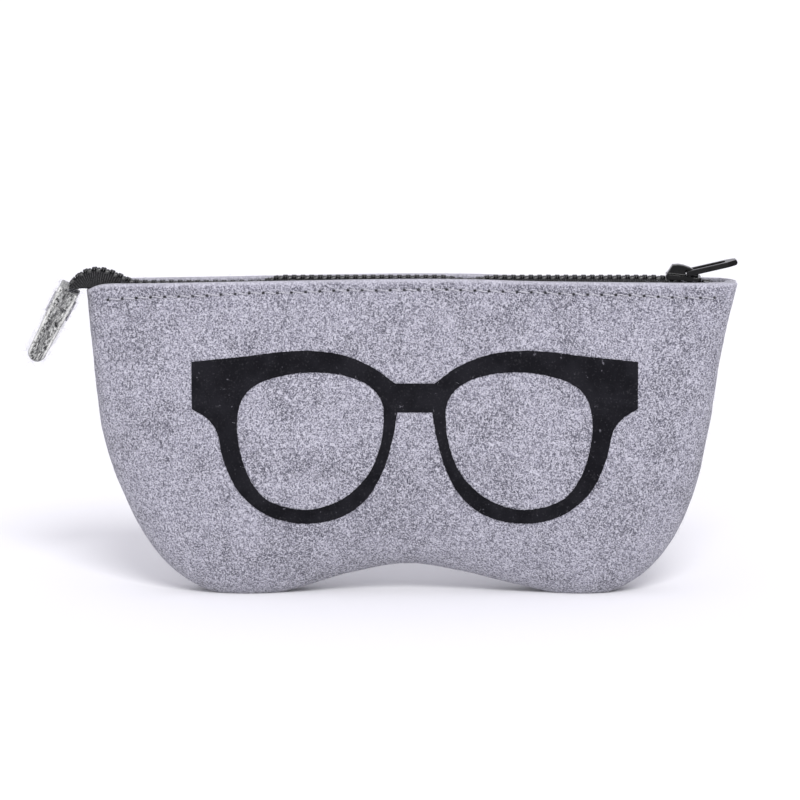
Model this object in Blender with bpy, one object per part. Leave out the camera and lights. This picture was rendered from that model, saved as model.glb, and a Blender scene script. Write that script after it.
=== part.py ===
"""A felt spectacles pouch: two sewn panels, a moulded zip across the mouth, its slider and a felt end tab.

Metres, +Z up. The front faces -Y and the pouch stands on its two lower lobes. The sizes below are those
of the pouch itself, with X = 0 at its middle and Y = 0 at its side seam; one empty then moves everything
so that the origin is under the middle of the box round the whole case.
"""

import math

import bmesh
import bpy
import numpy as np
from mathutils.geometry import delaunay_2d_cdt

CASE_SHIFT_X = 0.0087   # the end tab makes the case longer on the left than on the right
GAP = 0.0003            # left between pieces that touch

# Felt panels
FELT = 0.0023
LIP_Z = 0.0900          # height of the mouth at its middle
LIP_HALF_GAP = 0.0066   # from the seam plane to the middle of the felt, along the mouth
BELLY_HALF = 0.0155     # the same at the fullest height
BELLY_Z = 0.0300
SIDE_ROUND = 0.0400     # how far in from the seam a panel goes on curving, below the belly
LIP_ROUND = 0.0120      # and along the mouth
SEAM_TURN = 0.0015      # radius of the felt's middle where it turns in at the seam
SEAM_ALLOWANCE = 0.0070
SEAM_LINE = [
    (-0.0926, 0.0868), (-0.0908, 0.0670), (-0.0882, 0.0455), (-0.0822, 0.0278), (-0.0733, 0.0118),
    (-0.0620, 0.0022), (-0.0485, -0.0014), (-0.0340, 0.0008), (-0.0180, 0.0056), (-0.0020, 0.0083),
    (0.0140, 0.0060), (0.0315, 0.0018), (0.0490, -0.0014), (0.0620, 0.0026), (0.0722, 0.0120),
    (0.0800, 0.0276), (0.0846, 0.0478), (0.0877, 0.0680), (0.0924, 0.0893),
]
LIP_LINE = [            # the mouth's edge, from the left corner to the right one
    (-0.0926, 0.0868), (-0.0896, 0.0886), (-0.0855, 0.0894), (-0.0800, 0.0897), (-0.0610, 0.0899),
    (-0.0350, 0.0903), (-0.0040, 0.0907), (0.0170, 0.0906), (0.0540, 0.0901), (0.0770, 0.0899),
    (0.0870, 0.0897), (0.0924, 0.0893),
]
ALLOWANCE_TRIM = 0.0035  # the allowance's inner edge stops this far below the mouth
SIDE_STEPS = 11
BASE_STEPS = 22
CURVE_ANGLES = [14, 28, 42, 56]   # degrees of the panel's round edge that get a row of points

# Zip chain
CHAIN_Z = 0.0898        # height of its middle plane along the mouth
LEFT_DIP = (0.0018, -0.0445, -0.0370)     # it lies this much lower up to the first place, until the second
MIDDLE_DIP = (0.0009, 0.0156, 0.0080)     # and this much lower round a place, within this distance of it
PITCH = 0.0025
TOOTH_HALF = 0.00047    # along the chain
TOOTH_THICK = 0.0021
ROW_OUTER = 0.0025      # outer edge of a closed row
BEAD_INNER = 0.0016
TOOTH_TIP = -0.00055    # a tooth reaches this far past the middle
TAPE = 0.00036
TAPE_DEPTH = 0.0086
STRAIGHT_START = -0.0760   # the tail's curve runs into the straight chain here
CHAIN_LEFT = -0.0842    # where the chain and tape leave the pouch and the tail begins
TEETH_RIGHT = 0.0820
TAPE_RIGHT = 0.0850
BEND_START = 0.0670     # the chain's right end dips into the corner of the mouth
BEND_LENGTH = 0.0050
BEND_ANGLE = math.radians(6)
CHAIN_PAST = 0.0160     # how much of the chain's line is kept past the bend
ROWS_PART = (0.0755, 0.0810)   # the two rows spread between these places, inside the slider
ROW_SPREAD = 0.0014
STOP = (0.0827, 0.0849)
TAIL_LINE = [
    (-0.1036, 0.0760), (-0.1006, 0.0819), (-0.0982, 0.0864), (-0.0958, 0.0896), (-0.0930, 0.0915),
    (-0.0898, 0.0921), (-0.0865, 0.0915), (-0.0832, 0.0901), (-0.0800, 0.0885), (STRAIGHT_START, 0.0880),
]
TAIL_TEETH_END = 0.0208  # measured along the tail from where it leaves the straight chain
TAIL_STOP_END = 0.0230
TAIL_FLAT = 0.0110      # length of the tail, from its end, over which its tape lies flat
TAIL_FOLD = 0.0090      # and the length after that over which the tape folds down
TAIL_TAPE_ROWS = [      # across the chain, then how far each row moves in and down as it folds
    (0.0045, 0.0012, 0.0006),
    (0.0064, 0.0027, 0.0031),
]

# Slider, in its own frame: X along the chain towards the mouth end, Z out of the pouch
SLIDER_PLACE = 0.0770   # its middle along the chain, with the zip closed
SLIDER_HALF_LENGTH = 0.0050
PLATE_IN = 0.00135
PLATE_OUT = 0.00205
REAR_WIDTH = 0.0033
MOUTH_WIDTH = 0.0046
REAR_CHANNEL = 0.00275
MOUTH_CHANNEL = 0.00415
DIAMOND_HALF = 0.0007
TAPE_SLOT = 0.00045
SLIDER_CORNER = 0.0006
CHANNEL_OVERLAP = 0.0003   # the two channels meet across the middle behind the diamond
CAP_HALF = 0.0017
CAP_SIDE = [
    (-0.0049, 0.00235), (-0.0035, 0.0046), (-0.0018, 0.0049), (-0.0003, 0.0048), (0.0014, 0.0044),
    (0.0030, 0.0038), (0.0041, 0.0034), (0.0041, 0.00235), (0.0023, 0.00235), (0.0023, 0.00355),
    (0.0005, 0.00355), (0.0005, 0.00235),
]
PULL_PIVOT = (0.0014, 0.0029)
PULL_ANGLE = math.radians(12.9)   # above level, pointing right
PULL_LENGTH = 0.0141
PULL_HALF = 0.0037
PULL_INNER = 0.0023
PULL_THICK = 0.0015
PULL_BAR = 0.00035
PULL_CORNER = 0.0004
PULL_SLOT_END = 0.0034   # from the tip to the slot

# End tab
TAB_MOUTH = (-0.0979, 0.0866)
TAB_DIRECTION = (-0.458, -0.889)
TAB_LENGTH = 0.0192
TAB_HALF = 0.0070
TAB_LAYER = 0.0015      # from the tab's middle to the middle of one layer
TAB_FELT = 0.0021
TAB_STITCH = (0.0028, 0.0075)   # the box of stitching, down from the tab's mouth
TAB_STITCH_HALF = 0.0050

# Threads and print
THREAD = 0.0004
TOP_STITCH_DROP = 0.0030   # below the mouth's edge, at the middle
TOP_STITCH_SAG = 0.0014    # and this much further down at the two ends
TOP_STITCH = (-0.0875, 0.0868)
SEAM_STITCH_INSET = 0.0050
PRINT_THICK = 0.00025
PRINT_X = 0.0006
BRIDGE_LOW = (0.0050, 0.0531)
BRIDGE_TOP = (0.0056, 0.0611)
TEMPLE_LOW = (0.0631, 0.0541)
TEMPLE_TOP = (0.0633, 0.0671)
RIM_LOWER = [
    BRIDGE_LOW, (0.0062, 0.0460), (0.0090, 0.0370), (0.0140, 0.0288), (0.0215, 0.0236), (0.0320, 0.0219),
    (0.0420, 0.0244), (0.0496, 0.0308), (0.0540, 0.0396), (0.0560, 0.0476), (0.0588, 0.0514), TEMPLE_LOW,
]
BROW = [
    TEMPLE_TOP, (0.0480, 0.0687), (0.0380, 0.0699), (0.0290, 0.0702), (0.0200, 0.0689), (0.0120, 0.0656),
    BRIDGE_TOP,
]
LENS = [
    (0.0088, 0.0510), (0.0096, 0.0566), (0.0138, 0.0610), (0.0210, 0.0635), (0.0290, 0.0642),
    (0.0368, 0.0634), (0.0440, 0.0612), (0.0486, 0.0572), (0.0503, 0.0510), (0.0496, 0.0430),
    (0.0466, 0.0345), (0.0412, 0.0284), (0.0308, 0.0259), (0.0210, 0.0288), (0.0138, 0.0352),
    (0.0100, 0.0430),
]

# Joints
FRONT_FOOT_Y = -0.0080
TAIL_HINGE = (-0.0842, 0.0902)


# Curves and the felt's shape

def smooth_curve(knots, steps, closed=False):
    """Evenly spaced points on a smooth curve through the knots."""
    knots = np.array(knots, float)
    if closed:
        around = np.vstack([knots[-1:], knots, knots[:2]])
    else:
        around = np.vstack([2 * knots[0] - knots[1], knots, 2 * knots[-1] - knots[-2]])
    t = np.linspace(0, 1, 16, endpoint=False)[:, None]
    fine = []
    for a, b, c, d in zip(around, around[1:], around[2:], around[3:]):
        fine.append(b + 0.5 * t * (c - a + t * (2 * a - 5 * b + 4 * c - d + t * (3 * b - a - 3 * c + d))))
    fine = np.vstack(fine + [knots[:1] if closed else knots[-1:]])
    length = np.concatenate([[0], np.cumsum(np.linalg.norm(np.diff(fine, axis=0), axis=1))])
    at = np.linspace(0, length[-1], steps + 1)
    even = np.stack([np.interp(at, length, axis) for axis in fine.T], axis=1)
    return even[:-1] if closed else even


SEAM_FINE = smooth_curve(SEAM_LINE, 2400)


LIP_FINE = smooth_curve(LIP_LINE, 400)


def lip_height(x):
    """Height of the mouth's edge."""
    return np.interp(x, LIP_FINE[:, 0], LIP_FINE[:, 1])


def chain_height(x):
    """Height of the chain's middle plane, before it bends into the right corner."""
    depth, low, high = LEFT_DIP
    t = np.clip((x - low) / (high - low), 0, 1)
    left = depth * (1 - t * t * (3 - 2 * t))
    depth, place, reach = MIDDLE_DIP
    t = np.clip(1 - np.abs(x - place) / reach, 0, 1)
    return CHAIN_Z - left - depth * t * t * (3 - 2 * t)


def fullness(z):
    """1 at the belly and below, falling smoothly to 0 at the mouth."""
    return 0.5 + 0.5 * np.cos(np.pi * np.clip((z - BELLY_Z) / (LIP_Z - BELLY_Z), 0, 1))


def round_length(z):
    return LIP_ROUND + (SIDE_ROUND - LIP_ROUND) * fullness(z)


def half_depth(x, z):
    """Distance from the seam plane to the middle of the felt."""
    x, z = np.atleast_1d(x), np.atleast_1d(z)
    inset = np.array([np.hypot(SEAM_FINE[:, 0] - a, SEAM_FINE[:, 1] - b).min() for a, b in zip(x, z)])
    start = FELT / 2 + GAP / 2 + SEAM_TURN
    reach = np.clip((inset - FELT / 2) / round_length(z), 0, 1)
    full = LIP_HALF_GAP + (BELLY_HALF - LIP_HALF_GAP) * fullness(z)
    return start + (full - start) * np.sqrt(1 - (1 - reach) ** 2)


def outside(x, z, distance):
    """Distance from the seam plane to a surface this far outside the middle of the felt."""
    step = 0.0005
    slope_x = (half_depth(x + step, z) - half_depth(x - step, z)) / (2 * step)
    slope_z = (half_depth(x, z + step) - half_depth(x, z - step)) / (2 * step)
    return half_depth(x, z) + distance * np.sqrt(1 + slope_x ** 2 + slope_z ** 2)


# Meshes

def thick_sheet(points, faces, thickness):
    """A closed solid of even thickness whose middle is the given open sheet: its points and faces."""
    sheet = bmesh.new()
    corners = [sheet.verts.new(p) for p in points]
    sheet.verts.index_update()
    for face in faces:
        sheet.faces.new([corners[i] for i in face])
    bmesh.ops.recalc_face_normals(sheet, faces=sheet.faces)
    sheet.normal_update()
    middle = np.array(points, float)
    normals = np.array([corner.normal for corner in corners]) * thickness / 2
    count = len(points)
    solid = []
    for face in sheet.faces:
        ring = [corner.index for corner in face.verts]
        solid.append(ring)
        solid.append([i + count for i in reversed(ring)])
    for edge in sheet.edges:
        if edge.is_boundary:
            loop = edge.link_loops[0]
            a, b = loop.vert.index, loop.link_loop_next.vert.index
            solid.append([a + count, b + count, b, a])
    sheet.free()
    return np.vstack([middle + normals, middle - normals]), solid


def add_object(name, points, faces, look, parent, smooth_below=40):
    """A mesh object that keeps its points' places in the case's frame, on the parent empty."""
    mesh = bpy.data.meshes.new(name)
    offset = np.array(parent.get("place", (0, 0, 0)), float)
    mesh.from_pydata([tuple(p) for p in np.array(points, float) - offset], [], [list(f) for f in faces])
    mesh.validate()
    shape = bmesh.new()
    shape.from_mesh(mesh)
    bmesh.ops.recalc_face_normals(shape, faces=shape.faces)
    shape.to_mesh(mesh)
    shape.free()
    mesh.shade_smooth()
    mesh.set_sharp_from_angle(angle=math.radians(smooth_below))
    mesh.materials.append(look)
    obj = bpy.data.objects.new(name, mesh)
    bpy.context.scene.collection.objects.link(obj)
    obj.parent = parent
    return obj


def add_axis(name, place, parent, turn=0.0):
    """An empty on a joint's axis. Its children's meshes are counted from it."""
    axis = bpy.data.objects.new(name, None)
    axis.empty_display_size = 0.005
    bpy.context.scene.collection.objects.link(axis)
    axis.parent = parent
    axis.location = np.array(place, float) - np.array(parent.get("place", (0, 0, 0)), float)
    axis.rotation_euler = (0, turn, 0)
    axis["place"] = list(place)
    return axis


def look(name, color, roughness, metallic=0.0):
    material = bpy.data.materials.new(name)
    material.use_nodes = True
    shader = material.node_tree.nodes["Principled BSDF"]
    shader.inputs["Base Color"].default_value = (*color, 1)
    shader.inputs["Roughness"].default_value = roughness
    shader.inputs["Metallic"].default_value = metallic
    return material


def grid_faces(rows, columns, first=0):
    """Quads over a grid of points listed row by row."""
    faces = []
    for r in range(rows - 1):
        for c in range(columns - 1):
            a = first + r * columns + c
            faces.append((a, a + 1, a + columns + 1, a + columns))
    return faces


def prism(outline, low, high, axis="Z"):
    """An outline in two coordinates, drawn out along the third from low to high."""
    count = len(outline)
    points = []
    for level in (low, high):
        for a, b in outline:
            points.append((a, b, level) if axis == "Z" else (a, level, b))
    faces = [list(range(count)), list(range(count, 2 * count))]
    for i in range(count):
        j = (i + 1) % count
        faces.append([i, j, j + count, i + count])
    return points, faces


def cut(target, points, faces, name, operation="DIFFERENCE"):
    """Takes the given closed shape out of the target, or keeps only what is inside it."""
    cutter = add_object(name, points, faces, target.data.materials[0], target.parent)
    cutter.location = target.location
    cutter.hide_render = True
    cutter.display_type = "WIRE"
    modifier = target.modifiers.new(name, "BOOLEAN")
    modifier.operation = operation
    modifier.object = cutter


def tube(path, radius, closed=False, sides=6):
    """A round thread along a path, as points and faces."""
    path = np.array(path, float)
    if closed:
        ahead, behind = np.roll(path, -1, axis=0), np.roll(path, 1, axis=0)
    else:
        ahead, behind = np.vstack([path[1:], path[-1:]]), np.vstack([path[:1], path[:-1]])
    along = ahead - behind
    along /= np.linalg.norm(along, axis=1)[:, None]
    flat = np.cross(along, (0, 1, 0))
    flat /= np.linalg.norm(flat, axis=1)[:, None]
    up = np.cross(along, flat)
    points = []
    for centre, a, b in zip(path, flat, up):
        for i in range(sides):
            turn = 2 * math.pi * i / sides
            points.append(centre + radius * (math.cos(turn) * a + math.sin(turn) * b))
    faces = []
    count = len(path)
    for r in range(count if closed else count - 1):
        for i in range(sides):
            j = (i + 1) % sides
            a, b = r * sides, (r + 1) % count * sides
            faces.append((a + i, a + j, b + j, b + i))
    if not closed:
        faces.append(list(range(sides)))
        faces.append(list(range((count - 1) * sides, count * sides)))
    return points, faces


# Felt panels

def inward_directions(seam):
    """At each seam point, the way into the panel. At the two ends it runs along the mouth's edge."""
    along = np.gradient(seam, axis=0)
    along /= np.linalg.norm(along, axis=1)[:, None]
    inward = np.stack([-along[:, 1], along[:, 0]], axis=1)
    last = len(seam) - 1
    for k in range(3):
        for end, way in ((k, 1), (last - k, -1)):
            x = seam[0 if way == 1 else last, 0]
            mouth = np.array([way, way * (lip_height(x + way * 0.004) - lip_height(x)) / (way * 0.004)])
            mixed = mouth / np.linalg.norm(mouth) * (1 - k / 3) + inward[end] * (k / 3)
            inward[end] = mixed / np.linalg.norm(mixed)
    return inward


def panel_sheet(side):
    """The middle of one felt panel: turned-in seam allowance, round edge and face."""
    steps = 2 * SIDE_STEPS + BASE_STEPS
    seam = smooth_curve(SEAM_LINE, steps)
    inward = inward_directions(seam)
    flat_y = FELT / 2 + GAP / 2
    turn_inset = FELT / 2 + SEAM_TURN
    rows = [(np.full(steps + 1, SEAM_ALLOWANCE), flat_y), (np.full(steps + 1, turn_inset), flat_y)]
    half_turn = SEAM_TURN * math.sqrt(0.5)
    rows.append((np.full(steps + 1, turn_inset - half_turn), flat_y + SEAM_TURN - half_turn))
    rows.append((np.full(steps + 1, FELT / 2), flat_y + SEAM_TURN))
    for angle in CURVE_ANGLES:
        reach = 1 - math.cos(math.radians(angle))
        rows.append((FELT / 2 + round_length(seam[:, 1]) * reach, None))
    points, last_ring = [], None
    for inset, depth in rows:
        ring = seam + inward * inset[:, None]
        trim = ALLOWANCE_TRIM if depth == flat_y and inset[0] == SEAM_ALLOWANCE else 0.0
        for end in (0, -1):
            ring[end, 1] = lip_height(ring[end, 0]) - trim
        y = half_depth(ring[:, 0], ring[:, 1]) if depth is None else np.full(steps + 1, depth)
        points.append(np.stack([ring[:, 0], y, ring[:, 1]], axis=1))
        last_ring = ring
    faces = grid_faces(len(rows), steps + 1)

    # The face inside the last ring is a patch stretched between that ring and the mouth's edge.
    left = last_ring[:SIDE_STEPS + 1][::-1]
    base = last_ring[SIDE_STEPS:SIDE_STEPS + BASE_STEPS + 1]
    right = last_ring[SIDE_STEPS + BASE_STEPS:]
    mouth_x = np.linspace(left[-1, 0], right[-1, 0], BASE_STEPS + 1)
    mouth = np.stack([mouth_x, lip_height(mouth_x)], axis=1)
    ring_start = (len(rows) - 1) * (steps + 1)
    index = {}
    flat_points = []
    for j in range(SIDE_STEPS + 1):
        v = j / SIDE_STEPS
        for i in range(BASE_STEPS + 1):
            u = i / BASE_STEPS
            if i == 0:
                index[i, j] = ring_start + SIDE_STEPS - j
            elif i == BASE_STEPS:
                index[i, j] = ring_start + SIDE_STEPS + BASE_STEPS + j
            elif j == 0:
                index[i, j] = ring_start + SIDE_STEPS + i
            else:
                index[i, j] = len(rows) * (steps + 1) + len(flat_points)
                across = (1 - u) * left[j] + u * right[j]
                up = (1 - v) * base[i] + v * mouth[i]
                corners = ((1 - v) * ((1 - u) * left[0] + u * right[0])
                           + v * ((1 - u) * left[-1] + u * right[-1]))
                flat_points.append(across + up - corners)
    flat = np.array(flat_points)
    points.append(np.stack([flat[:, 0], half_depth(flat[:, 0], flat[:, 1]), flat[:, 1]], axis=1))
    for j in range(SIDE_STEPS):
        for i in range(BASE_STEPS):
            faces.append((index[i, j], index[i + 1, j], index[i + 1, j + 1], index[i, j + 1]))
    points = np.vstack(points)
    points[:, 1] *= side
    points[:, 2] = np.maximum(points[:, 2], FELT / 2)
    return points, faces


def felt_panel(name, side, felt, parent):
    points, faces = thick_sheet(*panel_sheet(side), FELT)
    points[:, 2] = np.where(points[:, 2] < GAP, 0, points[:, 2])   # pressed flat on what it stands on
    return add_object(name, points, faces, felt, parent, 60)


def seam_thread(name, side, thread, parent):
    """The stitching that holds the two seam allowances together, on one panel's side of them."""
    seam = smooth_curve(SEAM_LINE, 40)
    line = seam + inward_directions(seam) * SEAM_STITCH_INSET
    line = line[2:-2]
    y = side * (FELT + GAP / 2 + GAP + THREAD / 2)
    path = np.stack([line[:, 0], np.full(len(line), y), line[:, 1]], axis=1)
    return add_object(name, *tube(path, THREAD / 2), thread, parent)


def top_stitch(name, side, thread, parent):
    """The row that fixes the zip's tape behind the lip, on the outside of the felt."""
    x = np.linspace(*TOP_STITCH, 44)
    z = lip_height(x) - TOP_STITCH_DROP - TOP_STITCH_SAG * (x / TOP_STITCH[0]) ** 2
    y = side * outside(x, z, FELT / 2 + GAP + THREAD / 2)
    return add_object(name, *tube(np.stack([x, y, z], axis=1), THREAD / 2), thread, parent)


# Print

def spectacles_outline():
    """The outline of the spectacles and of its two lenses, from the front."""
    lower = smooth_curve(RIM_LOWER, 28)
    brow = smooth_curve(BROW, 14)
    half = np.vstack([lower, brow])
    other = half[::-1] * (-1, 1)
    lens = smooth_curve(LENS, 30, closed=True)
    return np.vstack([half, other]) + (PRINT_X, 0), [lens + (PRINT_X, 0), lens * (-1, 1) + (PRINT_X, 0)]


def inside_outline(point, outline):
    x, z = point
    found = False
    for (ax, az), (bx, bz) in zip(outline, np.roll(outline, -1, axis=0)):
        if (az > z) != (bz > z) and x < ax + (z - az) * (bx - ax) / (bz - az):
            found = not found
    return found


def print_sheet():
    outer, lenses = spectacles_outline()
    outlines = [outer] + lenses
    points, edges = [], []
    for outline in outlines:
        first = len(points)
        points.extend(tuple(p) for p in outline)
        edges.extend((first + i, first + (i + 1) % len(outline)) for i in range(len(outline)))
    for x in np.arange(-0.0600, 0.0620, 0.0050):
        for z in np.arange(0.0255, 0.0700, 0.0050):
            held = inside_outline((x, z), outer) and not any(inside_outline((x, z), hole) for hole in lenses)
            near = min(np.hypot(o[:, 0] - x, o[:, 1] - z).min() for o in outlines)
            if held and near > 0.0015:
                points.append((x, z))
    found = delaunay_2d_cdt(points, edges, [], 0, 1e-7)
    flat = np.array([tuple(p) for p in found[0]])
    faces = []
    for face in found[2]:
        middle = flat[list(face)].mean(axis=0)
        if inside_outline(middle, outer) and not any(inside_outline(middle, hole) for hole in lenses):
            faces.append(tuple(face))
    used = sorted({i for face in faces for i in face})
    new = {old: i for i, old in enumerate(used)}
    flat = flat[used]
    y = -outside(flat[:, 0], flat[:, 1], FELT / 2 + GAP + PRINT_THICK / 2)
    return np.stack([flat[:, 0], y, flat[:, 1]], axis=1), [tuple(new[i] for i in face) for face in faces]


# Zip

def zip_line():
    """Places along the chain, and its middle there: the tail, the straight mouth and the dipped right end."""
    tail = smooth_curve(TAIL_LINE, 300)
    tail_length = np.linalg.norm(np.diff(tail, axis=0), axis=1).sum()
    along = np.linspace(STRAIGHT_START - tail_length, STRAIGHT_START, len(tail))
    straight = np.linspace(STRAIGHT_START, BEND_START, 150)[1:]
    bend = np.linspace(0, BEND_ANGLE, 12)[1:]
    radius = BEND_LENGTH / BEND_ANGLE
    bend_x = BEND_START + radius * np.sin(bend)
    bend_z = CHAIN_Z - radius * (1 - np.cos(bend))
    run = np.linspace(0, CHAIN_PAST, 12)[1:]
    run_x = bend_x[-1] + run * math.cos(BEND_ANGLE)
    run_z = bend_z[-1] - run * math.sin(BEND_ANGLE)
    places = np.concatenate([along, straight, BEND_START + bend * radius, BEND_START + BEND_LENGTH + run])
    x = np.concatenate([tail[:, 0], straight, bend_x, run_x])
    z = np.concatenate([tail[:, 1], chain_height(straight), bend_z, run_z])
    return places, x, z


ZIP_PLACES, ZIP_X, ZIP_Z = zip_line()
TAIL_END = ZIP_PLACES[0] + 0.0005


def on_zip(place, across, up):
    """The point at this place along the chain, moved across it and up out of it."""
    place = np.atleast_1d(place).astype(float)
    step = 0.0003
    x, z = np.interp(place, ZIP_PLACES, ZIP_X), np.interp(place, ZIP_PLACES, ZIP_Z)
    along_x = np.interp(place + step, ZIP_PLACES, ZIP_X) - np.interp(place - step, ZIP_PLACES, ZIP_X)
    along_z = np.interp(place + step, ZIP_PLACES, ZIP_Z) - np.interp(place - step, ZIP_PLACES, ZIP_Z)
    size = np.hypot(along_x, along_z)
    return np.stack([x - up * along_z / size, np.zeros_like(x) + across, z + up * along_x / size], axis=1)


def row_spread(place):
    """How far each row has moved out from the closed chain."""
    t = np.clip((place - ROWS_PART[0]) / (ROWS_PART[1] - ROWS_PART[0]), 0, 1)
    return ROW_SPREAD * t * t * (3 - 2 * t)


def teeth_row(name, side, start, end, plastic, parent):
    """One row: the bead along the tape's edge with its teeth, half a pitch out of step with the other row."""
    first = math.ceil(start / PITCH) * PITCH + (PITCH / 2 if side > 0 else 0)
    middles = [first + i * PITCH for i in range(200) if first + i * PITCH < end - TOOTH_HALF]
    points, faces = [], []
    for i, middle in enumerate(middles):
        for place, reach in ((middle - TOOTH_HALF, -1), (middle + TOOTH_HALF, 1)):
            tip_place = place - reach * 0.00008
            spread = row_spread(np.array([place, place, tip_place]))
            across = side * (np.array([ROW_OUTER, BEAD_INNER, TOOTH_TIP]) + spread)
            points.append(on_zip([place, place, tip_place], across, 0.0))
        a = 6 * i
        faces.append((a, a + 3, a + 4, a + 1))
        faces.append((a + 1, a + 4, a + 5, a + 2))
        if i:
            faces.append((a - 3, a, a + 1, a - 2))
    return add_object(name, *thick_sheet(np.vstack(points), faces, TOOTH_THICK), plastic, parent, 30)


def zip_block(name, side_low, side_high, places, plastic, parent):
    """A moulded stop across part of the chain."""
    points = np.vstack([on_zip(places, low, 0.0) for low in (side_low, side_high)])
    return add_object(name, *thick_sheet(points, [(0, 1, 3, 2)], TOOTH_THICK), plastic, parent, 30)


def mouth_tape(name, side, cloth, parent):
    """Level beside the teeth, then down the inside of the felt."""
    places = np.linspace(CHAIN_LEFT + GAP / 2, TAPE_RIGHT, 44)
    spread = row_spread(places)
    rows = [on_zip(places, side * (ROW_OUTER + GAP + spread), 0.0)]
    for drop in (0.0001, TAPE_DEPTH / 2, TAPE_DEPTH):
        line = on_zip(places, 0.0, -drop)
        inner = half_depth(line[:, 0], np.minimum(line[:, 2], LIP_Z)) - FELT / 2 - GAP - TAPE / 2
        line[:, 1] = side * inner
        rows.append(line)
    points = np.vstack(rows)
    return add_object(name, *thick_sheet(points, grid_faces(4, len(places)), TAPE), cloth, parent)


def tail_tape(name, side, cloth, parent):
    """Folded down beside the teeth over the corner, and opening out flat into the end tab."""
    places = np.linspace(TAIL_END, CHAIN_LEFT - GAP / 2, 22)
    t = np.clip((places - ZIP_PLACES[0] - TAIL_FLAT) / TAIL_FOLD, 0, 1)
    folded = t * t * (3 - 2 * t)
    rows = [on_zip(places, side * (ROW_OUTER + GAP), 0.0)]
    for across, pull_in, drop in TAIL_TAPE_ROWS:
        rows.append(on_zip(places, side * (across - pull_in * folded), -drop * folded))
    points = np.vstack(rows)
    return add_object(name, *thick_sheet(points, grid_faces(3, len(places)), TAPE), cloth, parent)


# End tab

def tab_point(down, out, y):
    """A point in the tab's frame: down its length, out to its left face, and across it."""
    dx, dz = TAB_DIRECTION
    return (TAB_MOUTH[0] + dx * down + dz * out, y, TAB_MOUTH[1] + dz * down - dx * out)


def end_tab(felt, parent):
    """A strip of felt folded over the tape's end."""
    profile = [(0.0, -TAB_LAYER), (TAB_LENGTH / 2, -TAB_LAYER), (TAB_LENGTH, -TAB_LAYER)]
    for angle in (30, 60, 90, 120, 150):
        turn = math.radians(angle)
        profile.append((TAB_LENGTH + TAB_LAYER * math.sin(turn), -TAB_LAYER * math.cos(turn)))
    profile += [(TAB_LENGTH, TAB_LAYER), (TAB_LENGTH / 2, TAB_LAYER), (-0.0006, TAB_LAYER)]
    points = [tab_point(down, out, y) for y in (-TAB_HALF, TAB_HALF) for down, out in profile]
    return add_object("end_tab", *thick_sheet(points, grid_faces(2, len(profile)), TAB_FELT), felt, parent, 60)


def end_tab_stitch(thread, parent):
    """A box of stitching through the tab and the tape."""
    out = TAB_LAYER + TAB_FELT / 2 + GAP + THREAD / 2
    (top, low), half = TAB_STITCH, TAB_STITCH_HALF
    box = [(top, -half), (top, half), (low, half), (low, -half)]
    path = []
    for (down, y), (next_down, next_y) in zip(box, box[1:] + box[:1]):
        for t in (0.08, 0.5, 0.92):
            path.append(tab_point(down + (next_down - down) * t, out, y + (next_y - y) * t))
    centre = np.array(tab_point((top + low) / 2, out, 0))
    outer, inner = [], []
    for point in path:
        away = np.array(point) - centre
        outer.append(centre + away * (1 + THREAD / 2 / np.linalg.norm(away)))
        inner.append(centre + away * (1 - THREAD / 2 / np.linalg.norm(away)))
    count = len(path)
    faces = [(i, (i + 1) % count, (i + 1) % count + count, i + count) for i in range(count)]
    return add_object("end_tab_stitch", *thick_sheet(outer + inner, faces, THREAD), thread, parent)


# Slider and pull

def mirrored(points):
    return points + [(x, -y) for x, y in reversed(points)]


def placed(points, axis):
    """Moves points from an axis's own frame to where they are in the case's frame before the axis turns."""
    return np.array(points, float) + np.array(axis["place"], float)


def slider_body(metal, axis):
    rear, mouth = -SLIDER_HALF_LENGTH, SLIDER_HALF_LENGTH
    corner = SLIDER_CORNER
    plan = mirrored([
        (rear, REAR_WIDTH - corner), (rear + corner, REAR_WIDTH), (-0.0012, REAR_WIDTH),
        (0.0028, MOUTH_WIDTH), (mouth - corner, MOUTH_WIDTH), (mouth, MOUTH_WIDTH - corner),
    ])
    points, faces = prism(plan, -PLATE_OUT, PLATE_OUT)
    body = add_object("slider_body", placed(points, axis), faces, metal, axis, 30)
    past = 0.0010
    for side, tag in ((-1, "front"), (1, "back")):
        channel = [
            (rear - past, -CHANNEL_OVERLAP), (rear - past, REAR_CHANNEL), (-0.0010, REAR_CHANNEL),
            (0.0030, MOUTH_CHANNEL), (mouth + past, MOUTH_CHANNEL), (mouth + past, DIAMOND_HALF),
            (0.0035, DIAMOND_HALF), (0.0015, 0.00012), (0.0010, -CHANNEL_OVERLAP),
        ]
        points, faces = prism([(x, side * y) for x, y in channel], -PLATE_IN, PLATE_IN)
        cut(body, placed(points, axis), faces, f"{tag}_channel_cutter")
        inner, outer = REAR_WIDTH - 0.0009, MOUTH_WIDTH + 0.0014
        slot = [(rear - past, inner), (mouth + past, inner), (mouth + past, outer), (rear - past, outer)]
        points, faces = prism([(x, side * y) for x, y in slot], -TAPE_SLOT, TAPE_SLOT)
        cut(body, placed(points, axis), faces, f"{tag}_tape_slot_cutter")
    return body


def slider_cap(metal, axis):
    """The arch that the pull's bar passes under."""
    points, faces = prism(CAP_SIDE, -CAP_HALF, CAP_HALF, "Y")
    return add_object("slider_cap", placed(points, axis), faces, metal, axis, 30)


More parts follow.
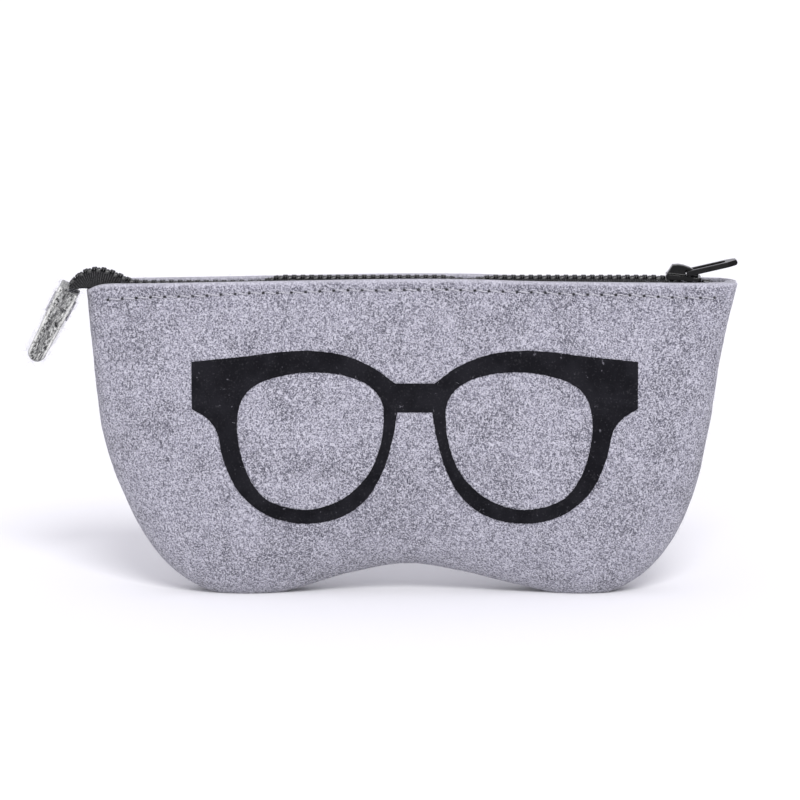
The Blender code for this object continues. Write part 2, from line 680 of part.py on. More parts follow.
def pull_tab(metal, axis):
    """A flat frame: its bar lies under the cap and its arms pass on both sides of the cap."""
    thick, half, end, corner = PULL_THICK / 2, PULL_HALF, PULL_LENGTH, PULL_CORNER
    side = [(-thick * math.sin(turn), thick * math.cos(turn)) for turn in np.linspace(0, math.pi, 7)]
    side += [(end - corner, -thick), (end, corner - thick), (end, thick - corner), (end - corner, thick)]
    points, faces = prism(side, -half, half, "Y")
    pull = add_object("pull_tab", placed(points, axis), faces, metal, axis, 30)
    plan = mirrored([
        (-0.0012, half - corner), (-0.0008, half + 0.0001), (end - 0.0030, half + 0.0001),
        (end - 0.0012, half - 0.0008), (end + 0.0001, half - 0.0019),
    ])
    points, faces = prism(plan, -PULL_THICK, PULL_THICK)
    cut(pull, placed(points, axis), faces, "pull_plan_cutter", "INTERSECT")
    slot_end = end - PULL_SLOT_END
    slot = mirrored([(PULL_BAR, PULL_INNER), (slot_end - 0.0014, PULL_INNER), (slot_end, PULL_INNER - 0.0009)])
    points, faces = prism(slot, -PULL_THICK, PULL_THICK)
    cut(pull, placed(points, axis), faces, "pull_slot_cutter")
    behind, ahead = -0.0020, PULL_BAR + 0.0001
    notches = [
        ("rear", -PULL_BAR, -PULL_THICK, PULL_THICK),
        ("upper", ahead, PULL_BAR, PULL_THICK),
        ("lower", ahead, -PULL_THICK, -PULL_BAR),
    ]
    for tag, reach, low, high in notches:
        points, faces = prism(mirrored([(behind, PULL_INNER), (reach, PULL_INNER)]), low, high)
        cut(pull, placed(points, axis), faces, f"pull_{tag}_notch_cutter")
    return pull


# Assembly

def build():
    for obj in list(bpy.data.objects):
        bpy.data.objects.remove(obj, do_unlink=True)

    felt = look("grey_felt", (0.48, 0.48, 0.55), 0.95)
    ink = look("black_print", (0.018, 0.018, 0.022), 0.55)
    cloth = look("black_tape", (0.02, 0.02, 0.022), 0.85)
    plastic = look("black_teeth", (0.015, 0.015, 0.016), 0.25)
    metal = look("black_enamel", (0.012, 0.012, 0.013), 0.22)
    grey_thread = look("grey_thread", (0.36, 0.36, 0.40), 0.80)

    case = bpy.data.objects.new("case_frame", None)
    bpy.context.scene.collection.objects.link(case)
    case.location = (CASE_SHIFT_X, 0, 0)
    case["place"] = [0, 0, 0]
    front = add_axis("front_hinge_axis", (0, FRONT_FOOT_Y, 0), case)
    tail = add_axis("tail_hinge_axis", (TAIL_HINGE[0], 0, TAIL_HINGE[1]), case)
    middle = tuple(float(a) for a in on_zip(SLIDER_PLACE, 0.0, 0.0)[0])
    slider = add_axis("slider_axis", middle, case, BEND_ANGLE)
    pivot = (middle[0] + PULL_PIVOT[0], 0, middle[2] + PULL_PIVOT[1])
    pull = add_axis("pull_axis", pivot, slider, -BEND_ANGLE - PULL_ANGLE)

    felt_panel("back_panel", 1, felt, case)
    felt_panel("front_panel", -1, felt, front)
    add_object("glasses_print", *thick_sheet(*print_sheet(), PRINT_THICK), ink, front)
    for side, name, parent in ((1, "back", case), (-1, "front", front)):
        seam_name = "seam_needle_thread" if side > 0 else "seam_bobbin_thread"
        seam_thread(seam_name, side, grey_thread, parent)
        top_stitch(f"{name}_top_stitch", side, grey_thread, parent)
        mouth_tape(f"{name}_tape", side, cloth, parent)
        teeth_row(f"{name}_teeth", side, CHAIN_LEFT, TEETH_RIGHT, plastic, parent)
        edges = sorted((side * (0.0002 + ROW_SPREAD), side * (ROW_OUTER + ROW_SPREAD)))
        zip_block(f"{name}_top_stop", *edges, STOP, plastic, parent)
        tail_tape(f"tail_{name}_tape", side, cloth, tail)
        tail_start = STRAIGHT_START - TAIL_TEETH_END
        teeth_row(f"tail_{name}_teeth", side, tail_start, CHAIN_LEFT - TOOTH_HALF, plastic, tail)
    stop_places = (STRAIGHT_START - TAIL_STOP_END, STRAIGHT_START - TAIL_TEETH_END - GAP)
    zip_block("bottom_stop", -ROW_OUTER, ROW_OUTER, stop_places, plastic, tail)
    end_tab(felt, tail)
    end_tab_stitch(grey_thread, tail)
    slider_body(metal, slider)
    slider_cap(metal, slider)
    pull_tab(metal, pull)


build()
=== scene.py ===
"""A felt spectacles pouch with a moulded zip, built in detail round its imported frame. Metres, +Z up."""
import math

import bmesh
import bpy
import numpy as np
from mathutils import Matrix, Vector, noise
from mathutils.geometry import delaunay_2d_cdt


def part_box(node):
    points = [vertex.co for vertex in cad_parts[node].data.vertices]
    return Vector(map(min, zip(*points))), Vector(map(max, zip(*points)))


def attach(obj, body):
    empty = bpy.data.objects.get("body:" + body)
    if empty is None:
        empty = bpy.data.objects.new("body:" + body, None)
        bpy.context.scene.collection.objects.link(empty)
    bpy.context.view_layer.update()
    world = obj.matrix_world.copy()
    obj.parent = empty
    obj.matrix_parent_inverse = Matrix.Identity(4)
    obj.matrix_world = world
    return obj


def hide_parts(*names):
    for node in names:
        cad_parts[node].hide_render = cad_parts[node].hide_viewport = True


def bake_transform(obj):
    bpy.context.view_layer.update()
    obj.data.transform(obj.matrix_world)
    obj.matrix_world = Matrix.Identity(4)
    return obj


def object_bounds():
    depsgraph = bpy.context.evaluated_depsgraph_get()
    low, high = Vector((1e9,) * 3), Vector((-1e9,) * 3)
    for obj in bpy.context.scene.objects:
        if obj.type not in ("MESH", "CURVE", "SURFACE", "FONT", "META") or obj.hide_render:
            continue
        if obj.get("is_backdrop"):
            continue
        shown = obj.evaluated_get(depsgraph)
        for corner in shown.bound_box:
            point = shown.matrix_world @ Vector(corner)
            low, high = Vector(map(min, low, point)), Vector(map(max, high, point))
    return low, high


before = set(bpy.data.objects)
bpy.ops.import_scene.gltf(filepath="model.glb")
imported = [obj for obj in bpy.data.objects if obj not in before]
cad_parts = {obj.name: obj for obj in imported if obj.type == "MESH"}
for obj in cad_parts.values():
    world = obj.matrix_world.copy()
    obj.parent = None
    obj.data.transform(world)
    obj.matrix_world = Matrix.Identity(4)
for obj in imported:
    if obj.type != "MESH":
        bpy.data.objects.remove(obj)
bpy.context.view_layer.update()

# The pouch's own shape, with X = 0 at its middle, Y = 0 at its side seam and the front towards -Y
SEAM_LINE = [
    (-0.0926, 0.0868), (-0.0908, 0.0670), (-0.0882, 0.0455), (-0.0822, 0.0278), (-0.0733, 0.0118),
    (-0.0620, 0.0022), (-0.0485, -0.0014), (-0.0340, 0.0008), (-0.0180, 0.0056), (-0.0020, 0.0083),
    (0.0140, 0.0060), (0.0315, 0.0018), (0.0490, -0.0014), (0.0620, 0.0026), (0.0722, 0.0120),
    (0.0800, 0.0276), (0.0846, 0.0478), (0.0877, 0.0680), (0.0924, 0.0893),
]
LIP_LINE = [
    (-0.0926, 0.0868), (-0.0896, 0.0885), (-0.0855, 0.0892), (-0.0800, 0.0893), (-0.0610, 0.0896),
    (-0.0350, 0.0901), (-0.0040, 0.0906), (0.0170, 0.0905), (0.0330, 0.0900), (0.0540, 0.0897),
    (0.0770, 0.0895), (0.0870, 0.0895), (0.0924, 0.0893),
]
CASE_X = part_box("back_panel")[1].x - SEAM_LINE[-1][0]
GAP = 0.0003
FELT = 0.0023
LIP_Z = 0.0900
LIP_HALF_GAP = 0.0066
BELLY_HALF = 0.0155
BELLY_Z = 0.0300
SIDE_ROUND = 0.0400
LIP_ROUND = 0.0120
SEAM_TURN = 0.0015
SEAM_ALLOWANCE = 0.0070
ALLOWANCE_TRIM = 0.0035
RIM = 0.0004            # how far the felt's cut edges bulge out
END_REACH = 0.0120      # how far from the mouth's corners the seam is eased up to the lip
TURN_REACH = 0.0060     # how far from them the edge turns towards the mouth
SIDE_ROWS = 84
LIP_ROWS = 28
LIP_SHARE = 0.905       # the lip rows start this far up the side
BASE_ROWS = 250
ALLOWANCE_ROWS = 6
ROUND_ANGLES = np.arange(2.5, 56.1, 2.4)

# Zip
CHAIN_Z = 0.0898
LEFT_DIP = (0.0015, -0.0445, -0.0370)
MIDDLE_DIP = (0.0009, 0.0156, 0.0080)
PITCH = 0.0025
ROW_OUTER = 0.0025
CHAIN_LEFT = -0.0842
TEETH_RIGHT = 0.0820
TAPE_RIGHT = 0.0838
BEND_START = 0.0670
BEND_LENGTH = 0.0050
BEND_ANGLE = math.radians(6)
ROWS_PART = (0.0755, 0.0810)
ROW_SPREAD = 0.0014
STOP = (0.0827, 0.0849)
TOOTH_HALF = 0.00104
TAPE_EDGE = ROW_OUTER - 0.0004
TAPE_THICK = 0.00032
TAPE_RIB = 0.00068
RIB_STEPS = 4           # places on the tape for each rib
RIB_HEIGHT = 0.00010
CORD_PLACE = 0.00172
CORD_RADIUS = 0.00036
TAIL_LINE = [
    (-0.1036, 0.0760), (-0.1006, 0.0819), (-0.0982, 0.0864), (-0.0958, 0.0896), (-0.0930, 0.0915),
    (-0.0898, 0.0921), (-0.0865, 0.0915), (-0.0832, 0.0901), (-0.0800, 0.0887), (-0.0760, 0.0883),
]
STRAIGHT_START = -0.0760
TAIL_TEETH_END = 0.0208
TAIL_STOP_END = 0.0230
SLIDER_PLACE = 0.0770

# Slider and pull, each in its own frame: X along the chain or the pull, Z out of it
SLIDER_HALF_LENGTH = 0.0050
PLATE_IN = 0.00135
PLATE_OUT = 0.00205
REAR_WIDTH = 0.0033
MOUTH_WIDTH = 0.0046
REAR_CHANNEL = 0.00275
MOUTH_CHANNEL = 0.00415
DIAMOND_HALF = 0.0007
TAPE_SLOT = 0.00045
CAP_HALF = 0.0017
CAP_SIDE = [
    (-0.0049, 0.00235), (-0.0035, 0.0046), (-0.0018, 0.0049), (-0.0003, 0.0048), (0.0014, 0.0044),
    (0.0030, 0.0038), (0.0041, 0.0034), (0.0041, 0.00235), (0.0023, 0.00235), (0.0023, 0.00355),
    (0.0005, 0.00355), (0.0005, 0.00235),
]
PULL_PIVOT = (0.0014, 0.0029)
PULL_ANGLE = math.radians(12.9)
PULL_LENGTH = 0.0141
PULL_HALF = 0.0037
PULL_INNER = 0.0023
PULL_THICK = 0.0015
PULL_BAR = 0.00035

# Threads and print
TOP_STITCH_DROP = 0.0030
TOP_STITCH_SAG = 0.0014
TOP_STITCH = (-0.0875, 0.0868)
STITCH_PITCH = 0.0040
HOLE_HALF = (0.00055, 0.00040)
THREAD = 0.00019        # the thread's radius
THREAD_TWIST = 2600     # in radians for a metre
PRINT_THICK = 0.00012
PRINT_LIFT = 0.00020
PRINT_X = 0.0006
BRIDGE_LOW = (0.0050, 0.0531)
BRIDGE_TOP = (0.0056, 0.0611)
TEMPLE_LOW = (0.0631, 0.0541)
TEMPLE_TOP = (0.0633, 0.0671)
RIM_LOWER = [
    BRIDGE_LOW, (0.0062, 0.0460), (0.0090, 0.0370), (0.0140, 0.0288), (0.0215, 0.0236), (0.0320, 0.0219),
    (0.0420, 0.0244), (0.0496, 0.0308), (0.0540, 0.0396), (0.0560, 0.0476), (0.0588, 0.0514), TEMPLE_LOW,
]
BROW = [
    TEMPLE_TOP, (0.0480, 0.0687), (0.0380, 0.0699), (0.0290, 0.0702), (0.0200, 0.0689), (0.0120, 0.0656),
    BRIDGE_TOP,
]
LENS = [
    (0.0088, 0.0510), (0.0096, 0.0566), (0.0138, 0.0610), (0.0210, 0.0635), (0.0290, 0.0642),
    (0.0368, 0.0634), (0.0440, 0.0612), (0.0486, 0.0572), (0.0503, 0.0510), (0.0496, 0.0430),
    (0.0466, 0.0345), (0.0412, 0.0284), (0.0308, 0.0259), (0.0210, 0.0288), (0.0138, 0.0352),
    (0.0100, 0.0430),
]

# End tab
TAB_MOUTH = (-0.0979, 0.0866)
TAB_DIRECTION = (-0.458, -0.889)
TAB_LENGTH = 0.0192
TAB_HALF = 0.0070
TAB_LAYER = 0.0015
TAB_FELT = 0.0021

# How many loose fibres each piece of felt has
BACK_HAIRS = 5000
FRONT_HAIRS = 3200
TAB_HAIRS = 700

# Light and camera
WORLD_STRENGTH = 0.77
LIGHTS = [              # strength, degrees above the ground, to the right and across
    ("key", 2.20, 35, 8, 20),
    ("fill", 1.6, 4, -8, 40),
]
CAMERA_TARGET = (0.0051, 0, 0.0550)
CAMERA_DISTANCE = 1.6
CAMERA_DOWN = 8.0
CAMERA_LENS = 252

# The front is cut into two halves at this X, from the closed corners to where the mouth opens widest
SPLIT_X = PRINT_X


# Curves and the felt's shape

def smoothstep(t):
    return t * t * (3 - 2 * t)


def unit(vectors):
    """The vectors, one to a row, each at length 1."""
    return vectors / np.maximum(np.linalg.norm(vectors, axis=-1, keepdims=True), 1e-20)


def run_along(line):
    """How far along the line each of its points is."""
    return np.concatenate([[0], np.cumsum(np.linalg.norm(np.diff(line, axis=0), axis=1))])


def curve_at(knots, shares, closed=False):
    """Points on a smooth curve through the knots, at these shares of its length."""
    knots = np.array(knots, float)
    if closed:
        around = np.vstack([knots[-1:], knots, knots[:2]])
    else:
        around = np.vstack([2 * knots[0] - knots[1], knots, 2 * knots[-1] - knots[-2]])
    t = np.linspace(0, 1, 16, endpoint=False)[:, None]
    fine = []
    for a, b, c, d in zip(around, around[1:], around[2:], around[3:]):
        fine.append(b + 0.5 * t * (c - a + t * (2 * a - 5 * b + 4 * c - d + t * (3 * b - a - 3 * c + d))))
    fine = np.vstack(fine + [knots[:1] if closed else knots[-1:]])
    length = run_along(fine)
    return np.stack([np.interp(np.array(shares) * length[-1], length, axis) for axis in fine.T], axis=1)


def smooth_curve(knots, steps, closed=False):
    points = curve_at(knots, np.linspace(0, 1, steps + 1), closed)
    return points[:-1] if closed else points


SEAM_FINE = smooth_curve(SEAM_LINE, 1600)
LIP_FINE = smooth_curve(LIP_LINE, 400)


def lip_height(x):
    return np.interp(x, LIP_FINE[:, 0], LIP_FINE[:, 1])


def chain_height(x):
    """Height of the chain's middle plane, before it bends into the right corner."""
    depth, low, high = LEFT_DIP
    left = depth * (1 - smoothstep(np.clip((x - low) / (high - low), 0, 1)))
    depth, place, reach = MIDDLE_DIP
    return CHAIN_Z - left - depth * smoothstep(np.clip(1 - np.abs(x - place) / reach, 0, 1))


def fullness(z):
    """1 at the belly and below, falling smoothly to 0 at the mouth."""
    return 0.5 + 0.5 * np.cos(np.pi * np.clip((z - BELLY_Z) / (LIP_Z - BELLY_Z), 0, 1))


def round_length(z):
    return LIP_ROUND + (SIDE_ROUND - LIP_ROUND) * fullness(z)


def half_depth(x, z):
    """Distance from the seam plane to the middle of the felt."""
    x, z = np.atleast_1d(x), np.atleast_1d(z)
    inset = np.empty(len(x))
    for first in range(0, len(x), 2000):
        part = slice(first, first + 2000)
        away = np.hypot(SEAM_FINE[None, :, 0] - x[part, None], SEAM_FINE[None, :, 1] - z[part, None])
        inset[part] = away.min(axis=1)
    start = FELT / 2 + GAP / 2 + SEAM_TURN
    reach = np.clip((inset - FELT / 2) / round_length(z), 0, 1)
    full = LIP_HALF_GAP + (BELLY_HALF - LIP_HALF_GAP) * fullness(z)
    return start + (full - start) * np.sqrt(1 - (1 - reach) ** 2)


def surface_frame(x, z, side):
    """Points on the middle of the felt, with the way out of the pouch there."""
    x, z = np.atleast_1d(x).astype(float), np.atleast_1d(z).astype(float)
    step = 0.0005
    slope_x = (half_depth(x + step, z) - half_depth(x - step, z)) / (2 * step)
    slope_z = (half_depth(x, z + step) - half_depth(x, z - step)) / (2 * step)
    normal = np.stack([-slope_x, np.full_like(x, 1.0), -slope_z], axis=1)
    normal = unit(normal)
    points = np.stack([x, half_depth(x, z), z], axis=1)
    flip = np.array([1, side, 1])
    return points * flip, normal * flip


def lumps(points, strength=1.0):
    """Felt's uneven thickness: how far the surface stands out at each point."""
    sizes = ((0.00016, 95, (0, 0, 0)), (0.00009, 260, (7, 3, 1)), (0.00005, 700, (2, 9, 5)))
    return strength * np.array([
        sum(height * noise.noise(Vector(p) * scale + Vector(move)) for height, scale, move in sizes) for p in points])


def stitch_places():
    """Where the needle goes through the lip: X of each hole."""
    count = int((TOP_STITCH[1] - TOP_STITCH[0]) / STITCH_PITCH)
    start = (TOP_STITCH[0] + TOP_STITCH[1] - count * STITCH_PITCH) / 2
    return start + STITCH_PITCH * np.arange(count + 1)


def stitch_height(x):
    return lip_height(x) - TOP_STITCH_DROP - TOP_STITCH_SAG * (x / TOP_STITCH[0]) ** 2 + 0.0001 * np.sin(x * 230)


def stitch_dent(points):
    """The row of stitches pulls the felt in, and a little more at each hole."""
    x = points[:, 0]
    off = points[:, 2] - stitch_height(x)
    hole = 0.5 + 0.5 * np.cos(2 * np.pi * (x - stitch_places()[0]) / STITCH_PITCH)
    ends = np.clip((x - TOP_STITCH[0]) / 0.002 + 1, 0, 1) * np.clip((TOP_STITCH[1] - x) / 0.002 + 1, 0, 1)
    return (0.00016 + 0.00016 * hole) * np.exp(-(off / 0.0009) ** 2) * ends


# Meshes

def grid_faces(rows, columns):
    return [(a, a + 1, a + columns + 1, a + columns)
            for r in range(rows - 1) for a in range(r * columns, (r + 1) * columns - 1)]


def ring_faces(rings, count):
    """The sides between closed rings, each with this count of points."""
    return [(r * count + i, r * count + j, (r + 1) * count + j, (r + 1) * count + i)
            for r in range(rings - 1) for i, j in zip(range(count), [*range(1, count), 0])]


def sheet_normals(points, faces):
    """The open sheet's normals, and its boundary loops as a dict from corner to next corner."""
    points = np.array(points, float)
    normals = np.zeros_like(points)
    quads = np.array([f if len(f) == 4 else (*f, f[2]) for f in faces])
    a, b, c, d = (points[quads[:, i]] for i in range(4))
    flat = np.cross(c - a, d - b) + np.cross(b - a, c - a) * (quads[:, 2] == quads[:, 3])[:, None]
    for i in range(4):
        np.add.at(normals, quads[:, i], flat)
    uses = {}
    for face in faces:
        for i, corner in enumerate(face):
            after = face[(i + 1) % len(face)]
            if (after, corner) in uses:
                del uses[after, corner]
            else:
                uses[corner, after] = True
    return unit(normals), {a: b for a, b in uses}


def thick_sheet(points, faces, thickness, out_shift=0.0, in_shift=0.0, rim=0.0, rim_rows=3):
    """A closed solid round the open sheet. The shifts move its two faces further out, and the rim bulges."""
    points = np.array(points, float)
    count = len(points)
    normals, after = sheet_normals(points, faces)
    outer = points + normals * (thickness / 2 + np.zeros(count) + out_shift)[:, None]
    inner = points - normals * (thickness / 2 + np.zeros(count) + in_shift)[:, None]
    solid = [tuple(f) for f in faces] + [tuple(i + count for i in reversed(f)) for f in faces]
    loops = list(after)
    before = {b: a for a, b in after.items()}
    along = np.array([points[after[i]] - points[before[i]] for i in loops])
    away = unit(np.cross(along, normals[loops]))
    place = {corner: i for i, corner in enumerate(loops)}
    rows = [np.array(loops)]
    extra = []
    for k in range(rim_rows if rim > 0 else 0):
        turn = math.pi * (k + 1) / (rim_rows + 1)
        level = math.copysign(abs(math.cos(turn)) ** 0.6, math.cos(turn))
        middle = (outer[loops] + inner[loops]) / 2
        extra.append(middle + (outer[loops] - middle) * level + away * rim * math.sin(turn) ** 0.6)
        rows.append(2 * count + len(loops) * k + np.arange(len(loops)))
    rows.append(np.array(loops) + count)
    for high, low in zip(rows, rows[1:]):
        for corner in loops:
            i, j = place[corner], place[after[corner]]
            solid.append((high[j], high[i], low[i], low[j]))
    return np.vstack([outer, inner, *extra]), solid


def placed(name, data):
    """A new object in the scene."""
    obj = bpy.data.objects.new(name, data)
    bpy.context.scene.collection.objects.link(obj)
    return obj


def new_object(name, points, faces, material, smooth_below=50):
    """A mesh object from points in the pouch's own frame."""
    mesh = bpy.data.meshes.new(name)
    points = np.array(points, float) + (CASE_X, 0, 0)
    mesh.from_pydata([tuple(p) for p in points], [], [tuple(int(i) for i in f) for f in faces])
    shape = bmesh.new()
    shape.from_mesh(mesh)
    bmesh.ops.recalc_face_normals(shape, faces=shape.faces)
    shape.to_mesh(mesh)
    shape.free()
    mesh.shade_smooth()
    mesh.set_sharp_from_angle(angle=math.radians(smooth_below))
    mesh.materials.append(material)
    return placed(name, mesh)


def set_values(obj, label, values):
    """Gives every point of the object's mesh a value that its material reads."""
    values = np.asarray(values, np.float32)
    obj.data.attributes.new(label, "FLOAT", "POINT").data.foreach_set("value", values)


class Mesh:
    """Collects several shapes' points and faces into one."""

    def __init__(self):
        self.points, self.faces, self.count = [], [], 0

    def add(self, points, faces):
        self.points.append(np.array(points, float))
        self.faces.extend(tuple(i + self.count for i in f) for f in faces)
        self.count += len(points)

    def object(self, name, material, smooth_below=50):
        return new_object(name, np.vstack(self.points), self.faces, material, smooth_below)


def tube(path, radii, sides=6, lobes=0.0, twist=0.0):
    """A round thread along a path with closed ends. Lobes and twist make it a twisted yarn."""
    path = np.array(path, float)
    along = unit(np.gradient(path, axis=0))
    flat = unit(np.cross(along, (0.31, 0.17, 0.93)))
    up = np.cross(along, flat)
    radii = np.broadcast_to(radii, len(path))
    turns = 2 * math.pi * np.arange(sides) / sides
    points = []
    for centre, a, b, r, s in zip(path, flat, up, radii, run_along(path)):
        size = r * (1 + lobes * np.cos(2 * (turns - twist * s)))
        points.append(centre + size[:, None] * (np.cos(turns)[:, None] * a + np.sin(turns)[:, None] * b))
    ends = [tuple(reversed(range(sides))), tuple(range((len(path) - 1) * sides, len(path) * sides))]
    return np.vstack(points), ring_faces(len(path), sides) + ends


def yarn(path, radii=THREAD):
    return tube(path, radii, 8, 0.16, THREAD_TWIST)


def away_from(outline):
    """At each point of a closed outline, the way square to it."""
    along = np.roll(outline, -1, axis=0) - np.roll(outline, 1, axis=0)
    return unit(np.stack([along[:, 1], -along[:, 0]], axis=1))


def rounded_block(outline, half, radius, steps):
    """A flat outline drawn out this far up and down, with its top and bottom edges rounded."""
    outline = np.array(outline, float)
    outward = away_from(outline)
    area = 0.5 * np.sum(outline[:, 0] * np.roll(outline[:, 1], -1) - np.roll(outline[:, 0], -1) * outline[:, 1])
    outward *= math.copysign(1, area)
    levels = []
    for k in range(steps + 1):
        turn = math.pi / 2 * k / steps
        levels.append((radius * (1 - math.sin(turn)) - half, radius * (1 - math.cos(turn))))
    levels = levels[::-1] + [(-h, inset) for h, inset in levels]
    points = [np.column_stack([outline - outward * inset, np.full(len(outline), h)]) for h, inset in levels]
    count = len(outline)
    faces = [tuple(range(count)), tuple(range((len(levels) - 1) * count, len(levels) * count))]
    return np.vstack(points), faces + ring_faces(len(levels), count)


def split(name, obj, x, keep_left):
    """A copy of the closed mesh on one side of the plane at X = x, closed there."""
    mesh = obj.data.copy()
    shape = bmesh.new()
    shape.from_mesh(mesh)
    everything = shape.verts[:] + shape.edges[:] + shape.faces[:]
    found = bmesh.ops.bisect_plane(
        shape, geom=everything, dist=1e-7, plane_co=(x, 0, 0), plane_no=(1 if keep_left else -1, 0, 0),
        clear_outer=True)
    rim = [e for e in found["geom_cut"] if isinstance(e, bmesh.types.BMEdge) and e.is_boundary]
    bmesh.ops.holes_fill(shape, edges=rim, sides=0)
    for edge in rim:
        edge.smooth = False
    shape.to_mesh(mesh)
    shape.free()
    return placed(name, mesh)


def remove(obj):
    bpy.data.objects.remove(obj, do_unlink=True)


# Materials

class Nodes:
    """Short calls for building one material's node tree."""

    def __init__(self, name):
        self.material = bpy.data.materials.new(name)
        self.material.use_nodes = True
        self.tree = self.material.node_tree
        self.shader = self.tree.nodes["Principled BSDF"]
        self.place = self.tree.nodes.new("ShaderNodeTexCoord").outputs["Object"]

    def add(self, kind, **values):
        node = self.tree.nodes.new("ShaderNode" + kind)
        for name, value in values.items():
            setattr(node, name, value)
        return node

    def link(self, source, target):
        self.tree.links.new(source, target)

    def put(self, value, socket):
        """A number, a colour or another node's output."""
        if isinstance(value, tuple):
            socket.default_value = (*value, 1)
        elif isinstance(value, (int, float)):
            socket.default_value = value
        else:
            self.link(value, socket)

    def attribute(self, label):
        return self.add("Attribute", attribute_name=label).outputs["Fac"]

    def math(self, operation, *values):
        node = self.add("Math", operation=operation)
        for socket, value in zip(node.inputs, values):
            self.put(value, socket)
        return node.outputs[0]

    def times(self, a, b):
        return self.math("MULTIPLY", a, b)

    def plus(self, a, b):
        return self.math("ADD", a, b)

    def noise(self, scale, detail, rough, turn=None, stretch=1.0, distortion=0.0, move=(0, 0, 0)):
        """Noise, with its grain turned and drawn out along its own X where a turn is given."""
        source = self.place
        if turn is not None:
            mapping = self.add("Mapping", vector_type="TEXTURE")
            for label, value in (("Location", move), ("Rotation", turn), ("Scale", (stretch, 1, 1))):
                mapping.inputs[label].default_value = value
            self.link(source, mapping.inputs["Vector"])
            source = mapping.outputs[0]
        node = self.add("TexNoise")
        for label, value in (("Scale", scale), ("Detail", detail), ("Roughness", rough), ("Distortion", distortion)):
            node.inputs[label].default_value = value
        self.link(source, node.inputs["Vector"])
        return node.outputs["Fac"]

    def ramp(self, value, low, high):
        """0 below low, 1 above high."""
        node = self.add("MapRange", interpolation_type="SMOOTHSTEP", clamp=True)
        node.inputs["From Min"].default_value = low
        node.inputs["From Max"].default_value = high
        self.link(value, node.inputs["Value"])
        return node.outputs[0]

    def mix(self, share, a, b):
        node = self.add("Mix", data_type="RGBA")
        for number, value in ((0, share), (6, a), (7, b)):
            self.put(value, node.inputs[number])
        return node.outputs[2]

    def bump(self, height, distance, strength):
        node = self.add("Bump")
        node.inputs["Strength"].default_value = strength
        node.inputs["Distance"].default_value = distance
        self.link(height, node.inputs["Height"])
        self.link(node.outputs[0], self.shader.inputs["Normal"])

    def roughness(self, value, low, high):
        node = self.add("MapRange")
        node.inputs["To Min"].default_value = low
        node.inputs["To Max"].default_value = high
        self.link(value, node.inputs["Value"])
        self.link(node.outputs[0], self.shader.inputs["Roughness"])

    def color(self, value):
        self.link(value, self.shader.inputs["Base Color"])

    def set(self, **values):
        for name, value in values.items():
            self.shader.inputs[name.replace("_", " ")].default_value = value


FIBRE_TURNS = (0.15, 0.95, 1.75, 2.55)   # the ways that the fibres lie


def fibres(n, scale, stretch, seed):
    """Short fibres lying every way in the felt: 0 to 1, high along the crest of a fibre."""
    found = None
    for k, turn in enumerate(FIBRE_TURNS):
        part = n.noise(scale, 1.0, 0.5, (0.35 * k - 0.4, turn + 0.2 * seed, 0.3 * k), stretch, 0.6,
                       (seed * 1.7, k * 2.3, seed + k))
        part = n.ramp(part, 0.52, 0.70)
        found = part if found is None else n.math("MAXIMUM", found, part)
    return found


def needle_hole_shade(n):
    """1 at the middle of each needle hole, 0 away from it: where the shade in the hole is painted dark and the bump
    dents in.
    """
    x = n.add("SeparateXYZ")
    n.link(n.place, x.inputs[0])
    along = n.math("DIVIDE", n.math("SUBTRACT", x.outputs[0], CASE_X + stitch_places()[0]), STITCH_PITCH)
    along = n.times(n.math("SUBTRACT", along, n.math("ROUND", along)), STITCH_PITCH / HOLE_HALF[0])
    off = n.attribute("stitch_off")
    off = n.math("DIVIDE", off, HOLE_HALF[1])
    away = n.math("SQRT", n.plus(n.times(along, along), n.times(off, off)))
    last = n.math("LESS_THAN", n.math("ABSOLUTE", n.math("SUBTRACT", x.outputs[0], CASE_X)), 0.0880)
    return n.times(n.ramp(away, 1.25, 0.55), last)


WOOL = {"Roughness": 0.95, "Sheen_Weight": 0.25, "Sheen_Roughness": 0.5, "Specular_IOR_Level": 0.08}


def felt_material(name, middle, light, dark, panel=False):
    """Mixed grey wool: pale and dark fibres lying every way, in patches of uneven mixing."""
    n = Nodes(name)
    grain = n.noise(2300, 2.0, 0.65)
    patches = n.noise(120, 4.0, 0.62)
    clouds = n.noise(38, 2.0, 0.5)
    pale = fibres(n, 1700, 3.6, 1)
    deep = fibres(n, 1500, 3.2, 4)
    patch = n.ramp(n.plus(n.times(patches, 0.6), n.times(clouds, 0.4)), 0.56, 0.41)
    color = n.mix(n.times(patch, 0.46), middle, dark)
    strength = n.times(n.plus(n.times(patch, 0.6), 0.7), 0.60)
    color = n.mix(n.times(deep, strength), color, dark)
    color = n.mix(n.times(pale, 0.50), color, light)
    color = n.mix(n.times(n.ramp(grain, 0.52, 0.63), 0.80), color, light)
    color = n.mix(n.times(n.ramp(grain, 0.47, 0.36), 0.80), color, dark)
    rise = n.plus(n.times(pale, 0.7), n.times(grain, 0.5))
    rise = n.math("SUBTRACT", rise, n.times(deep, 0.4))
    if panel:
        # Partly painted highlight: the felt is made paler along the lip's top edge, where light from above falls on
        # the rounded rim, and partly the paler fibres of the cut edge.
        edge = n.ramp(n.attribute("lip_off"), -0.0014, -0.0003)
        color = n.mix(n.times(edge, 0.50), color, light)
        hole = needle_hole_shade(n)
        # Painted shade: each needle hole is darkened nearly to black, standing in for the shade in its pit.
        color = n.mix(n.times(hole, 0.94), color, (0.008, 0.008, 0.010))
        rise = n.math("SUBTRACT", rise, n.times(hole, 1.5))
    n.color(color)
    n.bump(rise, 0.00022, 0.9)
    n.set(**WOOL)
    return n.material


